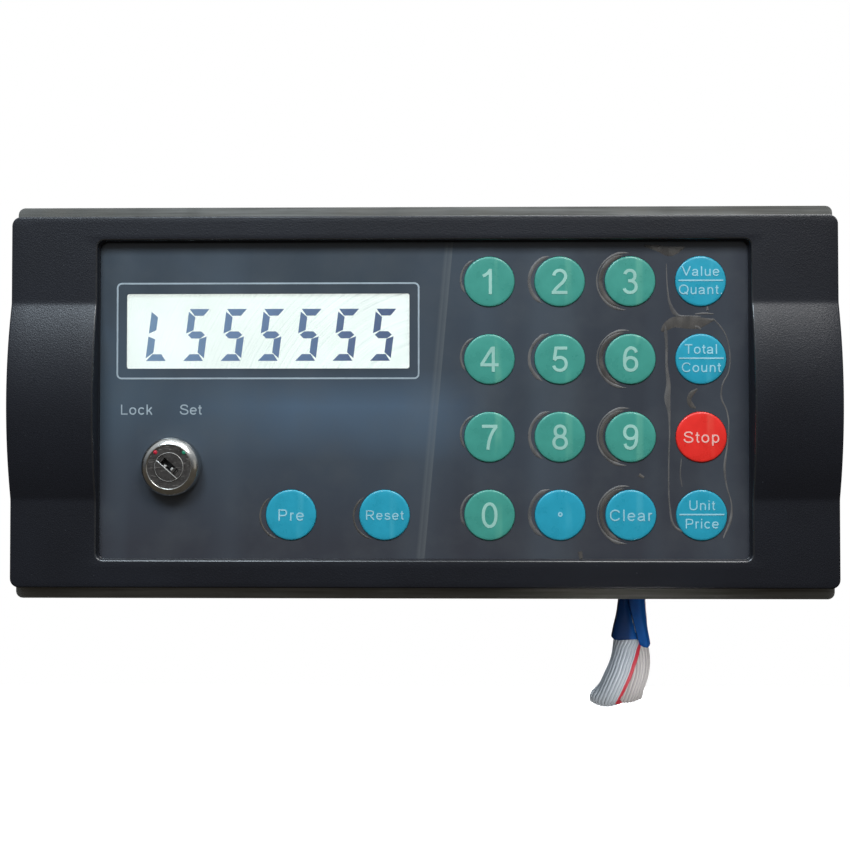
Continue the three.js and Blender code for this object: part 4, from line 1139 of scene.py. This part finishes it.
# ------------------------------------------------------------------ keys
def key(name, column, row, colour, legend):
    """A domed cap with its flange behind the film, and its legend."""
    x, z = key_centre(name, column, row)
    profile = [(0, -5.60), (3.0, -5.595), (6.0, -5.57), (8.2, -5.52), (8.75, -5.46),
               (9.05, -5.34), (KEY_RADIUS, -5.1), (KEY_RADIUS, -4.2), (9.9, -4.2),
               (9.9, -3.5), (0, -3.5)]
    mesh_piece(name + "_cap", revolve(profile, x, z, 72), "key_" + colour, body=name,
               replaces=(name,), angle=40)
    front, line_z, line_width, line_reach, depth = -5.66, z + 0.3, 0.5, 8.1, 0.1
    digit, word, long_word, stacked = 9.2, 4.1, 3.4, 3.5        # heights of the capitals
    if legend == ".":
        parts = [stroke(oval(x, line_z, 0.6, 0.6, 0, 360), line_width, front, depth)]
    elif "/" in legend:
        upper, lower = legend.split("/")
        line = [(x - line_reach, line_z), (x + line_reach, line_z)]
        parts = (lettering(upper, stacked, x, z + 3.65, front, gap=0.09)
                 + lettering(lower, stacked, x, z - 3.0, front, gap=0.09)
                 + [stroke(line, line_width, front, depth)])
    elif legend.isdigit():
        parts = lettering(legend, digit, x, z, front, weight=0.122, depth=depth)
    else:
        parts = lettering(legend, long_word if legend == "Reset" else word, x, z, front, gap=0.12)
    printed(name + "_legend", parts, "legend_" + colour, name)


for entry in KEYS:
    key(*entry)


# ------------------------------------------------------------------ protective film
def ridge(line, height):
    """A shallow rounded ridge on the film along points of x, z and width."""
    base = FILM_FRONT - 0.015
    loops = []
    for i, (x, z, width) in enumerate(line):
        ax, az, _ = line[max(i - 1, 0)]
        bx, bz, _ = line[min(i + 1, len(line) - 1)]
        length = math.hypot(bx - ax, bz - az)
        nx, nz = -(bz - az) / length, (bx - ax) / length
        reach = max(0.05, width / 2)
        high = height * min(1.0, width) * (0.9 + 0.2 * noise.noise(Vector((x * 0.3, 0, z * 0.3))))
        loops.append([(x + nx * reach * s, base - high * h, z + nz * reach * s)
                      for s, h in ((-1, 0), (-0.8, 0.4), (-0.45, 0.85), (0, 1.0), (0.45, 0.85),
                                   (0.8, 0.4), (1, 0))])
    return loft(loops, cap=True)


def along(route):
    """Smooth line of x, z and width through a few of them."""
    return [(p.x, p.z, p.y) for p in spline_points([(x, width, z) for x, z, width in route], 0.9)]


def crescent(x, z, start, end, near, bulge, width, thick_ends):
    """A ridge that follows a key's left side, from start to end degrees."""
    steps = 34
    line = []
    for i in range(steps + 1):
        t = i / steps
        a = math.radians(start + (end - start) * t)
        shake = 0.12 * noise.noise(Vector((x * 0.21 + 3 * t, z * 0.17, 1.7)))
        r = near + bulge * math.sin(math.pi * t) + shake
        ends = abs(2 * t - 1) ** 2
        taper = min(1.0, 8 * t, 8 * (1 - t))
        wide = (taper * width * (1 - thick_ends + 2.2 * thick_ends * ends)
                * (1 + 0.2 * noise.noise(Vector((x, 4 * t, z)))))
        line.append((x + r * math.cos(a), z + r * math.sin(a), max(0.12, wide)))
    return ridge(line, 0.24)


POCKETS = [  # x, height and width along each air pocket
    [(86.8, 25.6, 0.8), (88.2, 27.0, 2.6), (91.0, 28.8, 3.8), (95.5, 28.9, 4.6),
     (100.0, 28.7, 4.2), (103.4, 29.3, 2.2), (105.8, 29.8, 0.5)],
    [(99.8, 4.6, 0.5), (97.6, 2.9, 1.8), (96.6, 0.6, 1.6), (97.6, -1.4, 1.8), (99.0, -2.4, 0.6)],
    [(80.6, 56.9, 0.5), (86.0, 55.8, 2.4), (90.0, 54.8, 3.6), (95.2, 56.4, 0.8)],
    [(78.4, -26.6, 1.4), (80.2, -27.6, 0.8)],
    [(57.0, -54.4, 1.6), (57.4, -57.0, 1.2)]]
CREASES = [  # the same for the film's pinched edges
    [(88.6, 50.2, 0.3), (89.0, 41.2, 0.5), (89.8, 36.0, 0.9), (91.6, 32.3, 1.6),
     (93.4, 31.2, 0.8), (97.0, 31.1, 0.5), (101.0, 31.0, 0.4)],
    [(88.2, 27.6, 0.6), (88.3, 24.9, 1.2), (88.6, 20.1, 0.9), (88.6, 12.6, 1.0),
     (89.2, 6.3, 1.6), (88.8, 1.1, 2.2), (89.4, -4.0, 1.1), (89.6, -10.0, 0.6),
     (89.2, -24.0, 0.5), (89.5, -38.0, 0.6), (91.0, -45.0, 0.9), (94.5, -47.2, 0.9),
     (98.0, -46.6, 0.5)],
    [(99.0, 31.9, 0.4), (102.0, 32.1, 0.7), (105.8, 31.9, 0.4)],
    [(103.5, 34.7, 0.5), (103.5, 33.2, 1.0)],
    [(98.4, 27.6, 0.3), (100.2, 27.0, 0.9), (101.0, 26.2, 0.4)],
    [(105.4, 30.4, 0.3), (108.2, 27.2, 0.5), (110.2, 23.9, 0.4), (111.5, 17.5, 0.4),
     (111.1, 11.0, 0.45), (108.8, 6.2, 0.5), (108.4, 1.2, 0.6), (110.2, -3.0, 0.5),
     (111.0, -8.0, 0.5), (110.4, -16.0, 0.5), (109.4, -24.0, 0.9), (110.2, -31.0, 0.5),
     (111.8, -37.0, 0.5), (111.4, -43.0, 1.0), (108.8, -49.5, 0.4)],
    [(93.8, -20.5, 0.35), (93.4, -27.0, 0.5), (94.0, -30.8, 0.3)]]
CRESCENTS = [  # kind, column, start and end degrees, distance, bulge, width, thicker ends
    ("creases", 0, 125, 205, 9.75, 0.75, 0.9, 0.1), ("creases", 1, 112, 232, 10.1, 1.0, 1.5, 0.2),
    ("creases", 2, 92, 262, 10.4, 1.7, 1.15, 0.55), ("pockets", 2, 104, 248, 9.9, 0.9, 1.7, 0.1),
    ("pockets", None, 140, 240, 10.0, 1.3, 0.8, 0.1)]


def protective_film():
    """Air pockets and creases of the clear film that is still on the keypad."""
    parts = {"pockets": [ridge(along(route), 0.12) for route in POCKETS],
             "creases": [ridge(along(route), 0.22) for route in CREASES]}
    for name, column, row, _, _ in KEYS:
        for kind, beside, *shape in CRESCENTS:
            if beside == column:
                parts[kind].append(crescent(*key_centre(name, column, row), *shape))
    for kind, material in (("pockets", "blister"), ("creases", "crease")):
        mesh_piece("protective_film_" + kind, merge(parts[kind]), material,
                   angle=80)


protective_film()


# ------------------------------------------------------------------ key switch lock
def lock():
    """Tapered chrome head with a rolled rim, and the darker worn face inside it."""
    x, z = LOCK
    rim = [(7.98, -10.75), (8.02, -11.0), (8.14, -11.1), (8.3, -11.08), (8.7, -10.9),
           (9.2, -10.6), (9.7, -10.25), (10.15, -9.85), (10.45, -9.4), (10.62, -8.8),
           (10.72, -7.6), (10.78, -6.5), (10.8, -5.4), (7.9, -5.3), (7.9, 20), (5.5, 20),
           (5.5, -9.9), (5.7, -10.3)]
    face = [(5.28, -10.3), (5.28, -10.62), (5.42, -10.72), (7.99, -10.72), (8.02, -10.5),
            (5.6, -10.2)]
    bead = [(0, -11.08), (0.4, -11.03), (0.66, -10.9), (0.78, -10.66), (0, -10.66)]
    mesh_piece("lock_housing", revolve(rim, x, z, 96), "lock_chrome", replaces=("lock_body",),
               angle=30)
    mesh_piece("lock_face", revolve(face, x, z, 96), "lock_face", angle=30)
    for colour, dx, dz in (("red", -4.95, 5.3), ("green", 5.45, 5.2)):
        mesh_piece("lock_dot_" + colour, revolve(bead, x + dx, z + dz, 20), "dot_" + colour,
                   angle=60)


def lock_plug():
    """Plug with a bright chamfered edge, split by the shutter line beside its keyway."""
    x, z = LOCK
    a = math.radians(-41.5)
    radius = 5.12
    shutter, slot_top = -1.2, 1.55      # levels of the keyway's lower and upper edge
    bottom = -8.4

    def slanted(u, v):
        return (x + u * math.cos(a) - v * math.sin(a), z + u * math.sin(a) + v * math.cos(a))

    def segment(low, high):
        """Outline of the part of the plug's face between two levels across the slant."""
        first, last = math.asin(low / radius), math.asin(high / radius)
        right = [first + (last - first) * i / 24 for i in range(25)]
        return ([slanted(radius * math.cos(t), radius * math.sin(t)) for t in right]
                + [slanted(-radius * math.cos(t), radius * math.sin(t)) for t in reversed(right)])

    def bar(u0, u1, v0, v1):
        return [slanted(u0, v0), slanted(u1, v0), slanted(u1, v1), slanted(u0, v1)]

    meshes = [sheet_mesh([segment(low, high)], -11.0, bottom, 0.08)
              for low, high in ((slot_top, radius), (-radius, shutter))]
    for u0, u1, y in ((-4.85, -3.95, -10.72), (-3.8, -3.35, -10.85), (1.75, 2.55, -10.7),
                      (2.95, 3.3, -10.9), (3.45, 4.75, -10.75)):
        ward = bar(u0, u1, shutter + 0.18, slot_top - 0.05)
        meshes.append(sheet_mesh([ward], y, bottom, 0.07))
    join_meshes("lock_plug_face", meshes, "lock_face", "lock_rotor")
    edge = [(radius - 0.04, -10.98), (radius + 0.02, -11.04), (radius + 0.12, -10.96),
            (radius + 0.14, -10.5), (radius - 0.04, -10.5)]
    bright = [raw_mesh("edge", revolve(edge, x, z, 96)),
              sheet_mesh([bar(-4.9, 4.9, shutter - 0.16, shutter + 0.14)], -11.06, -10.4, 0.1),
              sheet_mesh([bar(-1.75, -0.75, shutter, shutter + 0.85)], -11.0, -8.5, 0.14),
              sheet_mesh([bar(0.95, 1.7, -0.35, 0.65)], -10.9, -8.5, 0.12)]
    join_meshes("lock_plug_edge", bright, "lock_edge", "lock_rotor", angle=50)
    core = [(0, bottom), (radius, bottom), (radius, 19.4), (3.0, 19.4), (3.0, 22.4), (0, 22.4)]
    mesh_piece("lock_plug_core", revolve(core, x, z, 48), "keyway_black", body="lock_rotor",
               replaces=("lock_plug",), angle=30)


lock()
lock_plug()


# ------------------------------------------------------------------ plate, cover and hardware
def corners(x, z):
    """The four places at plus and minus x and z."""
    return [(-x, z), (x, z), (-x, -z), (x, -z)]


def stud_threads():
    """Rolled thread on the plate's four studs, as a fine helix round each."""
    pitch, inner, outer, flank = 0.7, 1.92, 2.12, 0.28
    turns, sides, first_y = 16, 18, 1.6
    for number, (x, z) in enumerate(corners(125, 67), 1):
        loops = []
        for i in range(turns * sides + 1):
            a = 2 * math.pi * i / sides
            y = first_y + pitch * i / sides
            loops.append([(x + r * math.cos(a), y + dy, z + r * math.sin(a))
                          for r, dy in ((inner, -flank), (outer, 0.0), (inner, flank))])
        mesh_piece("stud_thread_%d" % number, loft(loops, cap=True), "stud_steel",
                   angle=20)


def cut_out(piece, tool):
    """Cut the tool's shape out of a piece."""
    cutter = add_object("cutter", tool)
    carve = piece.modifiers.new("recess", "BOOLEAN")
    carve.operation = "DIFFERENCE"
    carve.solver = "EXACT"
    carve.object = cutter
    carved = evaluated_mesh(piece)
    piece.modifiers.clear()
    carved.validate()
    piece.data = carved
    shade_by_angle(carved, 30)
    bpy.data.objects.remove(cutter)


def turned_outline(outline, degrees, x, z):
    a = math.radians(degrees)
    return [(x + (px - x) * math.cos(a) - (pz - z) * math.sin(a),
             z + (px - x) * math.sin(a) + (pz - z) * math.cos(a)) for px, pz in outline]


def node_at(start, x, z):
    """The CAD node whose name has this start and whose box holds the place."""
    for name in NODES:
        low, high = (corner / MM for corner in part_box(name))
        if name.startswith(start) and low.x < x < high.x and low.z < z < high.z:
            return name


def cover_screws():
    """Pan heads with a cross recess that hold the cover to the plate and bezel."""
    profile = [(0, -6.4), (1.2, -6.4), (1.45, -6.0), (1.45, 1.85), (3.15, 1.85),
               (3.2, 2.5), (3.05, 3.05), (2.6, 3.5), (1.9, 3.75), (0, 3.85)]
    for index, (x, z) in enumerate(corners(133, 50)):
        node = node_at("case_screw", x, z)
        piece = mesh_piece(node + "_pan", revolve(profile, x, z, 40), "zinc_steel",
                           replaces=(node,))
        slot = rounded_rectangle(3.4, 0.75, 0.1, x, z, 2)
        for turn in (0, 90):
            bar = turned_outline(slot, turn + 20 * index, x, z)
            cut_out(piece, sheet_mesh([bar], 2.7, 4.4))


stud_threads()
cover_screws()


# ------------------------------------------------------------------ looks of the CAD nodes
DRESSED = [  # material, width of the broken edges, CAD nodes
    ("clear_lens", 0, "display_lens"), ("lcd_backlight", 0, "lcd_glass backlight_panel"),
    ("black_plastic", 0.15, "lcd_frame lcd_header control_chip"),
    ("black_plastic", 0.2, "key_switch ribbon_socket_a ribbon_socket_b"),
    ("black_plastic", 0.25, "buzzer"), ("white_plastic", 0, "key_spacer"),
    ("white_plastic", 0.1, "board_post_1 board_post_2 board_post_3 board_post_4"),
    ("white_plastic", 0.15, "cable_tie"), ("white_plastic", 0.2, "tail_connector"),
    ("keypad_circuit", 0, "dome_sheet membrane_tail"), ("circuit_board", 0, "main_board"),
    ("plate_steel", 0.12, "mounting_plate"), ("cover_steel", 0.35, "rear_cover"),
    ("zinc_steel", 0.2, "lock_nut"), ("zinc_steel", 0.15, "lock_cam"),
    ("rubber", 0.3, "cable_grommet")]


def dress(node, material, bevel):
    """Gives a CAD node its material, and breaks its sharp edges."""
    obj = NODES[node]
    obj.data.materials.clear()
    obj.data.materials.append(M[material])
    for polygon in obj.data.polygons:
        polygon.material_index = 0
    if bevel:
        edges = obj.modifiers.new("edges", "BEVEL")
        edges.width = bevel * MM
        edges.segments = 2
        edges.limit_method = "ANGLE"
        edges.angle_limit = math.radians(40)


for finish, edge, nodes in DRESSED:
    for node in nodes.split():
        dress(node, finish, edge)


# ------------------------------------------------------------------ stage and light
def area_light(name, position, size, power, colour=(1, 1, 1), aim=(0.0, -0.01, 0.0)):
    data = bpy.data.lights.new(name, "AREA")
    data.shape = "RECTANGLE"
    data.size, data.size_y = size
    data.energy = power
    data.color = colour
    aimed(name, data, position, aim)


def spot_light(name, position, aim, power, degrees):
    data = bpy.data.lights.new(name, "SPOT")
    data.energy = power
    data.spot_size = math.radians(degrees)
    data.spot_blend = 0.6
    data.shadow_soft_size = 0.03
    aimed(name, data, position, aim)


def surroundings():
    """White backdrop to the eye; for light, a bright soft ceiling and a dim room below."""
    world = bpy.data.worlds.new("surroundings")
    scene.world = world
    world.use_nodes = True
    tree = world.node_tree
    tree.nodes.clear()
    stops = [(0.0, 0.056), (0.46, 0.082), (0.50, 0.086), (0.56, 0.13), (0.70, 0.4), (1.0, 1.0)]
    warm, cool, horizon = (1.12, 1, 0.82), (0.93, 0.98, 1.04), 0.5
    tinted = [(position, tuple(level * c for c in (warm if position < horizon else cool)) + (1,))
              for position, level in stops]
    coords = add_node(tree, "ShaderNodeTexCoord")
    split = add_node(tree, "ShaderNodeSeparateXYZ", {"Vector": coords.outputs["Generated"]})
    spread = add_node(tree, "ShaderNodeMapRange", {"Value": split.outputs["Z"], "From Min": -1})
    ramp = add_node(tree, "ShaderNodeValToRGB", {"Fac": spread.outputs["Result"]})
    set_stops(ramp, tinted)
    lit = add_node(tree, "ShaderNodeBackground", {"Color": ramp.outputs["Color"]})
    seen = add_node(tree, "ShaderNodeBackground", {"Color": (1, 1, 1, 1)})
    path = add_node(tree, "ShaderNodeLightPath")
    blend = add_node(tree, "ShaderNodeMixShader", {
        0: path.outputs["Is Camera Ray"], 1: lit.outputs[0], 2: seen.outputs[0]})
    add_node(tree, "ShaderNodeOutputWorld", {"Surface": blend.outputs[0]})


def floor():
    """Plain white floor well below the module, seen by the camera only."""
    reach, level = 4.0, -0.9
    mesh = bpy.data.meshes.new("floor")
    mesh.from_pydata([(-reach, -reach, level), (reach, -reach, level), (reach, reach, level),
                      (-reach, reach, level)], [], [(0, 1, 2, 3)])
    g = Graph("floor_white")
    g.surface(Base_Color=g.between(g.noise(2), 0.9, 1), Emission_Color=(1, 1, 1, 1),
              Emission_Strength=1.0, Roughness=1.0)
    mesh.materials.append(g.material)
    obj = add_object("floor", mesh)
    obj.visible_diffuse = False
    obj.visible_glossy = False
    obj.visible_transmission = False
    obj.visible_shadow = False


surroundings()
floor()
area_light("key", (0.32, -0.72, 0.80), (0.4, 0.42), 5.6)
area_light("sky", (-0.32, -0.72, 0.80), (0.45, 0.42), 7.4, (0.79, 0.92, 1.03))
area_light("card", (1.10, -0.66, 0.10), (0.45, 0.5), 0.2, (1.0, 0.96, 0.88))
area_light("back", (0.4, 1.1, 0.9), (0.8, 0.8), 15.0, aim=(0.0, 0.02, 0.0))
spot_light("ribbons", (0.19, -0.33, -0.41), (0.077, 0.012, -0.108), 12, 8.4)
scene.view_settings.view_transform = "Standard"
